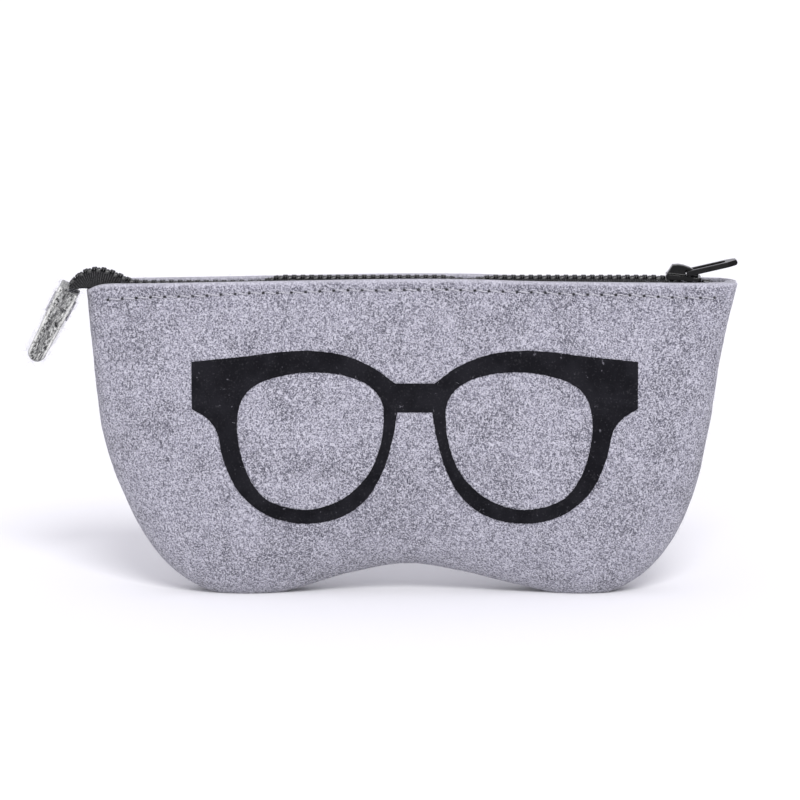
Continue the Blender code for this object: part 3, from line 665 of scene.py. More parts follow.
def cut_felt_material(name, middle, light, dark, along):
    """Felt whose cut edges show their fibres end to end: dark and pale strands along the strip."""
    n = Nodes(name)
    facing = n.add("SeparateXYZ")
    n.link(n.add("NewGeometry").outputs["Normal"], facing.inputs[0])
    cut = n.ramp(n.math("ABSOLUTE", facing.outputs[1]), 0.45, 0.85)
    turn = math.atan2(-along[1], along[0])
    strands = n.noise(2300, 2.0, 0.6, (0, turn, 0), 2.6, 1.2)
    tufts = n.noise(950, 3.0, 0.65, (0, turn, 0), 1.8, 0.8)
    grain = n.noise(2300, 2.0, 0.65)
    face = n.mix(n.ramp(grain, 0.40, 0.62), dark, light)
    face = n.mix(0.55, face, middle)
    color = n.mix(n.ramp(tufts, 0.42, 0.58), tuple(c * 0.35 for c in dark), middle)
    color = n.mix(n.times(n.ramp(strands, 0.50, 0.66), 0.75), color, light)
    color = n.mix(n.times(n.ramp(strands, 0.46, 0.34), 0.80), color, tuple(c * 0.4 for c in dark))
    share = n.attribute("layer_share")
    color = n.mix(n.times(n.ramp(share, 0.66, 0.90), n.ramp(strands, 0.30, 0.55)), color, light)
    # Painted shade: the cut edge is darkened in the groove between the tab's two layers.
    groove_shade = n.times(n.ramp(share, 0.42, 0.10), n.ramp(tufts, 0.62, 0.40))
    color = n.mix(n.times(groove_shade, 0.75), color, dark)
    n.color(n.mix(cut, face, color))
    n.bump(n.plus(strands, n.times(tufts, 1.5)), 0.00035, 1.0)
    n.set(**WOOL)
    return n.material


def print_material(name):
    """Screen ink soaked into the felt, with a few pale fibres showing through."""
    n = Nodes(name)
    grain = n.noise(1700, 2.0, 0.6)
    pale = fibres(n, 430, 4.0, 2)
    blotches = n.noise(150, 3.0, 0.5)
    color = n.mix(n.ramp(blotches, 0.35, 0.65), (0.0056, 0.0055, 0.0072), (0.0098, 0.0096, 0.0122))
    color = n.mix(n.times(n.ramp(grain, 0.55, 0.75), 0.6), color, (0.030, 0.0295, 0.033))
    flecks = n.times(n.ramp(n.noise(900, 1.0, 0.5), 0.70, 0.78), pale)
    color = n.mix(n.times(flecks, 0.5), color, (0.16, 0.155, 0.18))
    n.color(color)
    n.bump(n.plus(n.times(pale, 0.6), n.times(grain, 0.6)), 0.00016, 0.8)
    n.set(Roughness=0.8, Specular_IOR_Level=0.03)
    return n.material


def thread_material(name, color_low, color_high):
    """Spun fibres, uneven in colour."""
    n = Nodes(name)
    n.color(n.mix(n.ramp(n.noise(2600, 2.0, 0.6), 0.35, 0.7), color_low, color_high))
    n.bump(n.noise(5200, 1.0, 0.5), 0.00006, 0.7)
    n.set(Roughness=0.6, Sheen_Weight=0.3, Sheen_Roughness=0.4)
    return n.material


def tape_material(name):
    """Woven polyester tape: ribs of dark yarn, with a painted highlight along their crests."""
    n = Nodes(name)
    yarn = n.noise(2600, 2.0, 0.6)
    crest = n.attribute("rib")
    color = n.mix(n.ramp(yarn, 0.35, 0.7), (0.0035, 0.0035, 0.0040), (0.0100, 0.0100, 0.0110))
    # Painted highlight: the ribs' crests are made paler where the light falls on them.
    crest_highlight = n.times(n.ramp(crest, 0.45, 1.0), n.ramp(yarn, 0.25, 0.60))
    n.color(n.mix(crest_highlight, color, (0.055, 0.054, 0.056)))
    n.bump(n.plus(yarn, n.times(crest, 0.5)), 0.00008, 0.8)
    n.set(Roughness=0.7, Specular_IOR_Level=0.15)
    return n.material


def plastic_material(name):
    """Moulded acetal: black, with a soft gloss and slight flow marks."""
    n = Nodes(name)
    flow = n.noise(420, 3.0, 0.55)
    n.color(n.mix(n.ramp(flow, 0.3, 0.7), (0.0015, 0.0015, 0.0020), (0.0040, 0.0040, 0.0045)))
    n.roughness(flow, 0.16, 0.36)
    n.bump(n.noise(1500, 2.0, 0.5), 0.00003, 0.5)
    n.set(Specular_IOR_Level=0.45)
    return n.material


def enamel_material(name):
    """Black enamel on a zinc casting, with the slight waviness of the paint and worn, paler high spots."""
    n = Nodes(name)
    wavy = n.noise(260, 3.0, 0.5)
    wear = n.ramp(n.noise(900, 4.0, 0.7), 0.66, 0.80)
    color = n.mix(n.ramp(wavy, 0.3, 0.7), (0.0020, 0.0020, 0.0022), (0.0045, 0.0045, 0.0045))
    n.color(n.mix(n.times(wear, 0.25), color, (0.022, 0.022, 0.020)))
    n.roughness(wavy, 0.10, 0.22)
    n.bump(wavy, 0.00006, 0.5)
    n.set(Specular_IOR_Level=0.16)
    return n.material


# Felt panels

def side_shares():
    """How far up the side each row lies: close together near the mouth, where the stitches are."""
    low = np.linspace(0, LIP_SHARE, SIDE_ROWS - LIP_ROWS + 1)[:-1]
    return np.concatenate([low, np.linspace(LIP_SHARE, 1, LIP_ROWS + 1)])


def inward_directions(seam):
    """At each seam point, the way into the panel. At the two ends it runs along the mouth's edge."""
    along = unit(np.gradient(seam, axis=0))
    inward = np.stack([-along[:, 1], along[:, 0]], axis=1)
    run = run_along(seam)
    step = 0.0040
    for i in range(len(seam)):
        for way, gone in ((1, run[i]), (-1, run[-1] - run[i])):
            if gone < TURN_REACH:
                x = seam[0 if way == 1 else -1, 0]
                mouth = unit(np.array([way * step, lip_height(x + way * step) - lip_height(x)]))
                share = 1 - gone / TURN_REACH
                inward[i] = unit(mouth * share + inward[i] * (1 - share))
    return inward


def felt_solid(name, side, material):
    """One panel: turned-in seam allowance, round edge and face, with the felt's uneven surface."""
    v = side_shares()
    quarter = 0.25
    shares = np.concatenate([quarter * (1 - v[::-1]), np.linspace(quarter, 1 - quarter, BASE_ROWS + 1)[1:-1],
                             1 - quarter * (1 - v)])
    seam = curve_at(SEAM_LINE, shares)
    steps = len(shares) - 1
    inward = inward_directions(seam)
    flat_y = FELT / 2 + GAP / 2
    turn_inset = FELT / 2 + SEAM_TURN
    rows = [(inset, flat_y) for inset in np.linspace(SEAM_ALLOWANCE, turn_inset, ALLOWANCE_ROWS)]
    for turn in np.radians((18, 36, 54, 72)):
        rows.append((turn_inset - SEAM_TURN * math.sin(turn), flat_y + SEAM_TURN * (1 - math.cos(turn))))
    rows.append((FELT / 2, flat_y + SEAM_TURN))
    hidden_rows = len(rows)
    for turn in np.radians(ROUND_ANGLES):
        rows.append((FELT / 2 + round_length(seam[:, 1]) * (1 - math.cos(turn)), None))
    trims = np.zeros(len(rows))
    trims[:ALLOWANCE_ROWS] = np.linspace(ALLOWANCE_TRIM, 0, ALLOWANCE_ROWS)
    points = []
    run = run_along(seam)
    nearness = [np.clip(1 - gone / END_REACH, 0, 1) for gone in (run, run[-1] - run)]
    for (inset, depth), trim in zip(rows, trims):
        ring = seam + inward * np.broadcast_to(inset, steps + 1)[:, None]
        for end, near in zip((0, -1), nearness):
            ring[:, 1] -= (ring[end, 1] - lip_height(ring[end, 0]) + RIM + trim) * smoothstep(near)
        y = half_depth(ring[:, 0], ring[:, 1]) if depth is None else np.full(steps + 1, depth)
        points.append(np.stack([ring[:, 0], y, ring[:, 1]], axis=1))
    faces = grid_faces(len(rows), steps + 1)
    left = ring[:SIDE_ROWS + 1][::-1]
    base = ring[SIDE_ROWS:SIDE_ROWS + BASE_ROWS + 1]
    right = ring[SIDE_ROWS + BASE_ROWS:]
    mouth_x = np.linspace(left[-1, 0], right[-1, 0], BASE_ROWS + 1)
    mouth = np.stack([mouth_x, lip_height(mouth_x) - RIM], axis=1)
    u = np.linspace(0, 1, BASE_ROWS + 1)[None, :, None]
    up = v[:, None, None]
    corners = (1 - up) * ((1 - u) * left[0] + u * right[0]) + up * ((1 - u) * left[-1] + u * right[-1])
    patch = (1 - u) * left[:, None] + u * right[:, None] + (1 - up) * base[None] + up * mouth[None] - corners
    ring_start = (len(rows) - 1) * (steps + 1)
    index = np.empty((SIDE_ROWS + 1, BASE_ROWS + 1), int)
    index[0] = ring_start + SIDE_ROWS + np.arange(BASE_ROWS + 1)
    index[:, 0] = ring_start + SIDE_ROWS - np.arange(SIDE_ROWS + 1)
    index[:, -1] = ring_start + SIDE_ROWS + BASE_ROWS + np.arange(SIDE_ROWS + 1)
    free = patch[1:, 1:-1].reshape(-1, 2)
    index[1:, 1:-1] = len(rows) * (steps + 1) + np.arange(len(free)).reshape(SIDE_ROWS, BASE_ROWS - 1)
    points.append(np.stack([free[:, 0], half_depth(free[:, 0], free[:, 1]), free[:, 1]], axis=1))
    for j in range(SIDE_ROWS):
        for i in range(BASE_ROWS):
            faces.append((index[j, i], index[j, i + 1], index[j + 1, i + 1], index[j + 1, i]))
    points = np.vstack(points)
    points[:, 2] = np.maximum(points[:, 2], FELT / 2)
    points[:, 1] *= side
    if side > 0:
        faces = [tuple(reversed(f)) for f in faces]
    free_height = np.clip((points[:, 2] - FELT) / 0.004, 0, 1)
    face_share = np.ones(len(points))
    face_share[:hidden_rows * (steps + 1)] = 0.25
    swell = lumps(points) * free_height * face_share
    outward = swell - stitch_dent(points) * face_share
    inner = lumps(points + 0.5) * free_height * face_share * 0.8
    solid_points, solid_faces = thick_sheet(points, faces, FELT, outward, inner, RIM)
    solid_points[:, 2] = np.maximum(solid_points[:, 2], 0)
    panel = new_object(name, solid_points, solid_faces, material, 60)
    for label, level in (("stitch_off", stitch_height), ("lip_off", lip_height)):
        set_values(panel, label, solid_points[:, 2] - level(solid_points[:, 0]))
    return panel


def felt_outside(x, z, side, lift):
    """Points this far outside the felt's uneven surface."""
    points, normals = surface_frame(x, z, side)
    return points + normals * (FELT / 2 + lift + lumps(points))[:, None]


# Print

def spectacles_outline(steps_lower, steps_brow, steps_lens):
    half = np.vstack([smooth_curve(RIM_LOWER, steps_lower), smooth_curve(BROW, steps_brow)])
    return half, smooth_curve(LENS, steps_lens, closed=True)


def closed_at_bridge(half):
    """Half an outline, with its ends joined down the middle of the bridge."""
    return np.vstack([[(0, BRIDGE_LOW[1])], half, [(0, BRIDGE_TOP[1])]])


def inside(points, outline):
    """Whether each point is inside the outline."""
    x, z = points[:, 0][:, None], points[:, 1][:, None]
    ax, az = outline[:, 0][None], outline[:, 1][None]
    bx, bz = np.roll(outline[:, 0], -1)[None], np.roll(outline[:, 1], -1)[None]
    crosses = (az > z) != (bz > z)
    with np.errstate(divide="ignore", invalid="ignore"):
        at = ax + (z - az) * (bx - ax) / (bz - az)
    return (crosses & (x < at)).sum(axis=1) % 2 == 1


def ragged(outline, seed):
    """Ink creeps along the fibres, so its edge isn't quite clean."""
    wobble = [noise.noise(Vector((p[0] * 1400, p[1] * 1400, seed))) for p in outline]
    return outline + away_from(outline) * (np.array(wobble) * 0.00013)[:, None]


def print_half(name, way, material):
    """Half of the spectacles, from the middle of the bridge out to one temple."""
    half, lens = spectacles_outline(210, 120, 260)
    outer = closed_at_bridge(ragged(half, 1.5 + way))
    lens = ragged(lens, 5.5 + way)
    borders = np.vstack([outer, lens])
    edges = [(i, (i + 1) % len(outer)) for i in range(len(outer))]
    edges += [(len(outer) + i, len(outer) + (i + 1) % len(lens)) for i in range(len(lens))]

    def printed(points):
        return inside(points, outer) & ~inside(points, lens)

    x, z = np.meshgrid(np.arange(0.0004, 0.0640, 0.0008), np.arange(0.0215, 0.0710, 0.0008))
    grid = np.column_stack([x.ravel(), z.ravel()])
    grid = grid[printed(grid)]
    near = np.array([np.hypot(*(borders - p).T).min() for p in grid])
    points = [tuple(p) for p in np.vstack([borders, grid[near > 0.0004]])]
    found = delaunay_2d_cdt(points, edges, [], 0, 1e-8)
    flat = np.array([tuple(p) for p in found[0]])
    kept = printed(np.array([flat[list(f)].mean(axis=0) for f in found[2]]))
    faces = [f for f, keep in zip(found[2], kept) if keep]
    used = sorted({i for f in faces for i in f})
    new = {old: i for i, old in enumerate(used)}
    flat = flat[used]
    faces = [tuple(new[i] for i in f) for f in faces]
    points, normals = surface_frame(PRINT_X + way * flat[:, 0], flat[:, 1], -1)
    lift = FELT / 2 + PRINT_LIFT + PRINT_THICK / 2 + lumps(points) - stitch_dent(points)
    return new_object(name, *thick_sheet(points + normals * lift[:, None], faces, PRINT_THICK), material, 60)


# Threads

def top_stitches(name, side, low, high, material):
    """Under the lip, one visible thread from each hole to the next between two X places, diving in at both ends."""
    mesh = Mesh()
    holes = [x for x in stitch_places() if low - 1e-6 <= x <= high + 1e-6]
    t = np.linspace(0, 1, 17)
    ends = np.abs(2 * t - 1)
    lift = THREAD * 0.8 + 0.00012 - 0.00075 * np.clip((ends - 0.72) / 0.28, 0, 1) ** 1.6
    radii = THREAD * (1 - 0.25 * np.clip((ends - 0.85) / 0.15, 0, 1))
    for a, b in zip(holes, holes[1:]):
        x = a + (b - a) * (0.10 + 0.80 * t)
        z = stitch_height(x) + 0.00018 * np.sin((x - holes[0]) / STITCH_PITCH * math.pi * 2)
        mesh.add(*yarn(felt_outside(x, z, side, lift - 0.00018), radii))
    return mesh.object(name, material)


def seam_stitches(name, side, low, high, material):
    """The stitches through the two seam allowances, inside the pouch, on one panel's side of them."""
    seam = curve_at(SEAM_LINE, np.linspace(0.03, 0.97, 2 * 36 + 1))
    line = seam + inward_directions(curve_at(SEAM_LINE, np.linspace(0, 1, 401)))[
        np.linspace(12, 388, 73).astype(int)] * 0.0050
    y = side * (FELT + GAP / 2 + GAP)
    mesh = Mesh()
    for k in range(0, len(line) - 2, 2):
        t = np.linspace(0.08, 0.92, 9)[:, None]
        flat = line[k] * (1 - t) ** 2 + 2 * line[k + 1] * t * (1 - t) + line[k + 2] * t ** 2
        if not low <= flat[:, 0].min() or not flat[:, 0].max() <= high:
            continue
        out = 0.00034 - 0.0004 * np.abs(2 * t[:, 0] - 1) ** 4
        path = np.column_stack([flat[:, 0], y + side * out - side * GAP, flat[:, 1]])
        mesh.add(*yarn(path))
    return mesh.object(name, material)


# Zip

def zip_line():
    """Places along the chain, and its middle there: the tail, the straight mouth and the dipped right end."""
    tail = smooth_curve(TAIL_LINE, 300)
    tail_length = np.linalg.norm(np.diff(tail, axis=0), axis=1).sum()
    along = np.linspace(STRAIGHT_START - tail_length, STRAIGHT_START, 301)
    straight = np.linspace(STRAIGHT_START, BEND_START, 150)[1:]
    bend = np.linspace(0, BEND_ANGLE, 12)[1:]
    radius = BEND_LENGTH / BEND_ANGLE
    bend_x = BEND_START + radius * np.sin(bend)
    bend_z = CHAIN_Z - radius * (1 - np.cos(bend))
    run = np.linspace(0, 0.016, 12)[1:]
    run_x = bend_x[-1] + run * math.cos(BEND_ANGLE)
    run_z = bend_z[-1] - run * math.sin(BEND_ANGLE)
    places = np.concatenate([along, straight, BEND_START + bend * radius, BEND_START + BEND_LENGTH + run])
    x = np.concatenate([tail[:, 0], straight, bend_x, run_x])
    z = np.concatenate([tail[:, 1], chain_height(straight), bend_z, run_z])
    return places, x, z


ZIP_PLACES, ZIP_X, ZIP_Z = zip_line()
TAIL_END = ZIP_PLACES[0] + 0.0005


def chain_middle(place):
    return np.array([np.interp(place, ZIP_PLACES, ZIP_X), 0, np.interp(place, ZIP_PLACES, ZIP_Z)])


def chain_frame(place):
    """The chain's middle at this place, with the way along it and the way up out of it."""
    step = 0.0004
    along = unit(chain_middle(place + step) - chain_middle(place - step))
    return chain_middle(place), along, np.array([-along[2], 0, along[0]])


def on_zip(places, across, up):
    out = np.empty((len(places), 3))
    across, up = np.broadcast_to(across, len(places)), np.broadcast_to(up, len(places))
    for i, place in enumerate(places):
        middle, along, rise = chain_frame(place)
        out[i] = middle + rise * up[i]
        out[i, 1] += across[i]
    return out


def row_spread(place):
    """How far each row has moved out from the closed chain."""
    return ROW_SPREAD * smoothstep(np.clip((place - ROWS_PART[0]) / (ROWS_PART[1] - ROWS_PART[0]), 0, 1))


def tooth_outline():
    """One tooth from above: along the chain, then across it from its tip past the middle to its legs."""
    side = [(0.00000, -0.00060), (0.00026, -0.00056), (0.00045, -0.00040), (0.00052, -0.00015),
            (0.00046, 0.00012), (0.00036, 0.00040), (0.00034, 0.00075), (0.00042, 0.00105),
            (0.00066, 0.00125), (0.00080, 0.00150), (0.00080, 0.00215), (0.00070, 0.00243), (0.00050, 0.00250)]
    return side + [(-x, y) for x, y in reversed(side[1:])]


def on_chain(shape, place):
    """Points of a shape, X along the chain, Y across it and Z out of it, at this place on the chain."""
    middle, along, rise = chain_frame(place)
    return middle + shape[:, :1] * along + shape[:, 1:2] * (0, 1, 0) + shape[:, 2:] * rise


def teeth(name, side, start, end, material):
    """One row of separate teeth, half a pitch out of step with the other row."""
    offset = PITCH / 2 if side > 0 else 0
    place = math.ceil((start - offset) / PITCH) * PITCH + offset
    shape, faces = rounded_block(tooth_outline(), TOOTH_HALF, 0.00040, 4)
    mesh = Mesh()
    while place < end - 0.0004:
        tooth = (shape + (0, row_spread(place), 0)) * (1, side, 1)
        mesh.add(on_chain(tooth, place), faces if side > 0 else [tuple(reversed(f)) for f in faces])
        place += PITCH
    return mesh.object(name, material, 35)


def tape_places(low, high):
    return np.linspace(low, high, int(round((high - low) / TAPE_RIB)) * RIB_STEPS + 1)


def ribbed_tape(name, rows, side, places, spread, material):
    """A thin tape through the rows of points, its yarn ribs across it and its cord in the teeth."""
    crests = np.tile(0.5 + 0.5 * np.cos(2 * math.pi * np.arange(len(places)) / RIB_STEPS), len(rows))
    ridge = RIB_HEIGHT * crests
    mesh = Mesh()
    mesh.add(*thick_sheet(np.vstack(rows), grid_faces(len(rows), len(places)), TAPE_THICK, ridge, ridge, 0.00008, 1))
    mesh.add(*tube(on_zip(places, side * (CORD_PLACE + spread), 0.0), CORD_RADIUS, 8))
    tape = mesh.object(name, material, 60)
    height = np.zeros(mesh.count)
    height[:2 * len(crests)] = np.tile(crests, 2)
    set_values(tape, "rib", height)
    return tape


def mouth_tape(name, side, material, low, high):
    """Level beside the teeth, then down the inside of the felt."""
    places = tape_places(low, high)
    spread = row_spread(places)

    def beside_felt(line):
        return half_depth(line[:, 0], np.minimum(line[:, 2], LIP_Z)) - FELT / 2 - 0.00035

    rows = [on_zip(places, side * (TAPE_EDGE + spread), 0.0)]
    level = on_zip(places, 0.0, -0.0001)
    for share in (0.35, 0.7):
        row = level.copy()
        row[:, 1] = side * ((TAPE_EDGE + spread) * (1 - share) + (beside_felt(level) - 0.0004) * share)
        row[:, 2] += 0.0001 - 0.00015 * share
        rows.append(row)
    for drop in (0.0004, 0.0012, 0.0024, 0.0038, 0.0052, 0.0066, 0.0078, 0.0086):
        row = on_zip(places, 0.0, -drop)
        row[:, 1] = side * beside_felt(row)
        rows.append(row)
    return ribbed_tape(name, rows, side, places, spread, material)


def tail_tape(name, side, material):
    """Folded down beside the teeth over the corner, and opening out flat into the end tab."""
    places = tape_places(TAIL_END, CHAIN_LEFT)
    folded = smoothstep(np.clip((places - ZIP_PLACES[0] - 0.0110) / 0.0090, 0, 1))
    edge = [(TAPE_EDGE, 0.0, 0.0, 0.0),
            (0.0031, 0.0006, -0.0001, 0.0002), (0.0045, 0.0013, 0.0, 0.0009), (0.0054, 0.0019, 0.0, 0.0021),
            (0.0062, 0.0025, 0.0, 0.0034), (0.0068, 0.0030, 0.0, 0.0046)]
    rows = [on_zip(places, side * (flat - pull * folded), level - drop * folded)
            for flat, pull, level, drop in edge]
    return ribbed_tape(name, rows, side, places, 0.0, material)


def stop_block(name, low, high, places, material):
    """A moulded stop across part of the chain, with rounded edges."""
    half = (places[1] - places[0]) / 2
    corner = 0.0003
    outline = [(-half, low + corner), (-half + corner, low), (half - corner, low), (half, low + corner),
               (half, high - corner), (half - corner, high), (-half + corner, high), (-half, high - corner)]
    shape, faces = rounded_block(outline, TOOTH_HALF, 0.00022, 3)
    return new_object(name, on_chain(shape, (places[0] + places[1]) / 2), faces, material, 35)


# End tab

def tab_point(down, out, y):
    """Points in the tab's frame: down its length, out to its left face, and across it."""
    dx, dz = TAB_DIRECTION
    return np.stack([TAB_MOUTH[0] + dx * down + dz * out, y + 0 * down, TAB_MOUTH[1] + dz * down - dx * out], axis=-1)


def tab_layer(down):
    """How far each layer's middle is from the tab's, this far down: most at its mouth."""
    return TAB_LAYER * (1.28 - 0.40 * np.clip(down / TAB_LENGTH, 0, 1))


def tab_profile():
    """The folded strip from the side, as down and out: the right layer, the fold and the left layer."""
    down = np.linspace(0, TAB_LENGTH, 40)
    out = tab_layer(down)
    turn = np.radians(np.arange(15, 166, 15))
    right = np.column_stack([down, -out])
    fold = np.column_stack([TAB_LENGTH + out[-1] * np.sin(turn), -out[-1] * np.cos(turn)])
    left = np.column_stack([down[::-1] - 0.0006 * (1 - down[::-1] / TAB_LENGTH), out[::-1]])
    return np.vstack([right, fold, left])


def felt_tab(name, material):
    profile = tab_profile()
    across = np.linspace(-TAB_HALF, TAB_HALF, 34)
    points = []
    for y in across:
        bow = 0.0002 * math.cos(9 * y / TAB_HALF)
        points.append(tab_point(profile[:, 0] + bow, profile[:, 1], y))
    points = np.vstack(points)
    faces = grid_faces(len(across), len(profile))
    normals, _ = sheet_normals(points, faces)
    outward = np.sign((normals * (points - tab_point(np.array([TAB_LENGTH / 2]), 0, 0))).sum(axis=1)).mean()
    if outward < 0:
        faces = [tuple(reversed(f)) for f in faces]
    near = np.abs(np.tile(profile[:, 1], len(across)))
    fill = np.clip(near - TAB_FELT / 2 - 0.00002, 0, 1)
    points, faces = thick_sheet(points, faces, TAB_FELT, lumps(points, 1.6), fill, RIM)
    away = points - tab_point(np.zeros(1), 0, 0)
    down = away @ (TAB_DIRECTION[0], 0, TAB_DIRECTION[1])
    out = away @ (TAB_DIRECTION[1], 0, -TAB_DIRECTION[0])
    obj = new_object(name, points, faces, material, 60)
    set_values(obj, "layer_share", np.abs(out) / (tab_layer(down) + TAB_FELT / 2))
    return obj


def tab_stitches(name, material):
    """A box of stitches through the tab, seen on both of its faces."""
    top, low, half = 0.0028, 0.0075, 0.0050
    corners = [(top, -half), (top, half), (low, half), (low, -half), (top, -half)]
    mesh = Mesh()
    for face in (1, -1):
        for (down_a, y_a), (down_b, y_b) in zip(corners, corners[1:]):
            count = max(1, round(math.hypot(down_b - down_a, y_b - y_a) / 0.0024))
            for k in range(count):
                t = (k + np.linspace(0.08, 0.92, 13)) / count
                ends = np.abs(np.linspace(-1, 1, 13))
                out = TAB_LAYER * 1.2 + TAB_FELT / 2 + 0.00042 - 0.0008 * np.clip((ends - 0.6) / 0.4, 0, 1) ** 1.5
                path = tab_point(down_a + (down_b - down_a) * t, face * out, y_a + (y_b - y_a) * t)
                mesh.add(*yarn(path))
    return mesh.object(name, material)


# Slider and pull

def mirrored(points):
    return points + [(x, -y) for x, y in reversed(points)]


def prism(outline, low, high, axis="Z"):
    """The outline drawn out from low to high along Z or Y."""
    count = len(outline)
    points = [(a, b, level) if axis == "Z" else (a, level, b) for level in (low, high) for a, b in outline]
    return points, [tuple(range(count)), tuple(range(count, 2 * count)), *ring_faces(2, count)]


def turned(points, place, angle):
    """Points of a piece's own frame, turned about Y and put in the pouch's frame."""
    points = np.array(points, float)
    c, s = math.cos(angle), math.sin(angle)
    moved = np.column_stack([c * points[:, 0] + s * points[:, 2], points[:, 1], c * points[:, 2] - s * points[:, 0]])
    return moved + place


def cast(name, shape, cuts, voxel, material, place, angle):
    """A casting: one shape with others added or taken away, its edges rounded by the mould."""
    core = new_object(name + "_core", turned(shape[0], place, angle), shape[1], material)
    tools = []
    for operation, (points, faces) in cuts:
        tool = new_object(name + "_tool", turned(points, place, angle), faces, material)
        modifier = core.modifiers.new("cut", "BOOLEAN")
        modifier.operation = operation
        modifier.object = tool
        tools.append(tool)
    remesh = core.modifiers.new("remesh", "REMESH")
    remesh.mode = "VOXEL"
    remesh.voxel_size = voxel
    soften = core.modifiers.new("soften", "SMOOTH")
    soften.factor = 0.5
    soften.iterations = 5
    mesh = bpy.data.meshes.new_from_object(core.evaluated_get(bpy.context.evaluated_depsgraph_get()))
    for obj in [core, *tools]:
        remove(obj)
    mesh.shade_smooth()
    return placed(name, mesh)


def slider_parts():
    """The slider's shape with its channels, tape slots and cap."""
    rear, mouth, past = -SLIDER_HALF_LENGTH, SLIDER_HALF_LENGTH, 0.0010
    corner = 0.0007
    plan = mirrored([
        (rear, REAR_WIDTH - corner), (rear + corner * 0.3, REAR_WIDTH - corner * 0.3), (rear + corner, REAR_WIDTH),
        (-0.0012, REAR_WIDTH), (0.0028, MOUTH_WIDTH), (mouth - corner, MOUTH_WIDTH),
        (mouth - corner * 0.3, MOUTH_WIDTH - corner * 0.3), (mouth, MOUTH_WIDTH - corner),
    ])
    cuts = []
    for side in (-1, 1):
        channel = [
            (rear - past, -0.0003), (rear - past, REAR_CHANNEL), (-0.0010, REAR_CHANNEL),
            (0.0030, MOUTH_CHANNEL), (mouth + past, MOUTH_CHANNEL), (mouth + past, DIAMOND_HALF),
            (0.0035, DIAMOND_HALF), (0.0015, 0.00012), (0.0010, -0.0003),
        ]
        cuts.append(("DIFFERENCE", prism([(x, side * y) for x, y in channel], -PLATE_IN, PLATE_IN)))
        slot = [(rear - past, 0.0024), (mouth + past, 0.0024), (mouth + past, 0.006), (rear - past, 0.006)]
        cuts.append(("DIFFERENCE", prism([(x, side * y) for x, y in slot], -TAPE_SLOT, TAPE_SLOT)))
    cap = [(x, z if z > 0.0024 else 0.0018) for x, z in CAP_SIDE]
    cuts.append(("UNION", prism(cap, -CAP_HALF, CAP_HALF, "Y")))
    return prism(plan, -PLATE_OUT, PLATE_OUT), cuts


def pull_parts():
    """The flat frame whose bar lies under the cap."""
    thick, half, end = PULL_THICK / 2, PULL_HALF, PULL_LENGTH
    side = [(-thick * math.sin(turn), thick * math.cos(turn)) for turn in np.linspace(0, math.pi, 15)]
    side += [(end - 0.0004, -thick), (end, -thick + 0.0004), (end, thick - 0.0004), (end - 0.0004, thick)]
    plan = mirrored([
        (-0.0012, half - 0.0004), (-0.0008, half + 0.0001), (end - 0.0030, half + 0.0001),
        (end - 0.0012, half - 0.0008), (end + 0.0001, half - 0.0019),
    ])
    slot = mirrored([(PULL_BAR, PULL_INNER), (end - 0.0048, PULL_INNER), (end - 0.0034, PULL_INNER - 0.0009)])
    cuts = [("INTERSECT", prism(plan, -PULL_THICK, PULL_THICK)),
            ("DIFFERENCE", prism(slot, -PULL_THICK, PULL_THICK))]
    behind, ahead = -0.0020, PULL_BAR + 0.0001
    for reach, low, high in ((-PULL_BAR, -PULL_THICK, PULL_THICK), (ahead, PULL_BAR, PULL_THICK),
                             (ahead, -PULL_THICK, -PULL_BAR)):
        cuts.append(("DIFFERENCE", prism(mirrored([(behind, PULL_INNER), (reach, PULL_INNER)]), low, high)))
    return prism(side, -half, half, "Y"), cuts


# Loose fibres

def loose_fibres(name, roots, normals, material, seed, length=(0.0007, 0.0024), lift=0.0003, radius=0.000020):
    """Fine hairs that stand a little way off the felt and bend back towards it."""
    draw = np.random.default_rng(seed)
    count = len(roots)
    way = draw.normal(size=(count, 3))
    way = unit(way - (way * normals).sum(axis=1)[:, None] * normals)
    side = np.cross(normals, way)
    size = draw.uniform(*length, count)[:, None]
    rise = (lift * draw.gamma(1.4, 0.7, count))[:, None]
    curl = draw.normal(scale=0.30, size=(count, 1)) * size
    steps = (0.0, 0.3, 0.65, 1.0)
    rings = []
    for t in steps:
        centre = roots + way * size * t + side * curl * t * t + normals * rise * math.sin(math.pi * (0.08 + 0.80 * t))
        centre = centre - normals * 0.0002 * (1 - t) ** 3
        thin = radius * (1 - 0.75 * t)
        for k in range(3):
            turn = 2 * math.pi * k / 3
            rings.append(centre + thin * (math.cos(turn) * normals + math.sin(turn) * side))
    points = np.stack(rings, axis=1).reshape(-1, 3)
    points[:, 2] = np.maximum(points[:, 2], 0.00005)
    per = 3 * len(steps)
    faces = (np.array(ring_faces(len(steps), 3))[None] + per * np.arange(count)[:, None, None]).reshape(-1, 4)
    mesh = bpy.data.meshes.new(name)
    mesh.from_pydata((points + (CASE_X, 0, 0)).tolist(), [], faces.tolist())
    mesh.shade_smooth()
    mesh.materials.append(material)
    return placed(name, mesh)


def felt_roots(obj, count, seed, keep):
    """Places spread over a felt piece's outside, with the way out there."""
    mesh = obj.data
    total = len(mesh.polygons)
    centres, normals, areas = np.empty(total * 3), np.empty(total * 3), np.empty(total)
    mesh.polygons.foreach_get("center", centres)
    mesh.polygons.foreach_get("normal", normals)
    mesh.polygons.foreach_get("area", areas)
    centres, normals = centres.reshape(-1, 3) - (CASE_X, 0, 0), normals.reshape(-1, 3)
    chosen = np.flatnonzero(keep(centres, normals))
    weights = areas[chosen] / areas[chosen].sum()
    draw = np.random.default_rng(seed)
    picked = draw.choice(chosen, size=count, p=weights)
    spread = draw.normal(scale=0.0003, size=(count, 3))
    spread -= (spread * normals[picked]).sum(axis=1)[:, None] * normals[picked]
    return centres[picked] + spread, normals[picked]


# The pieces

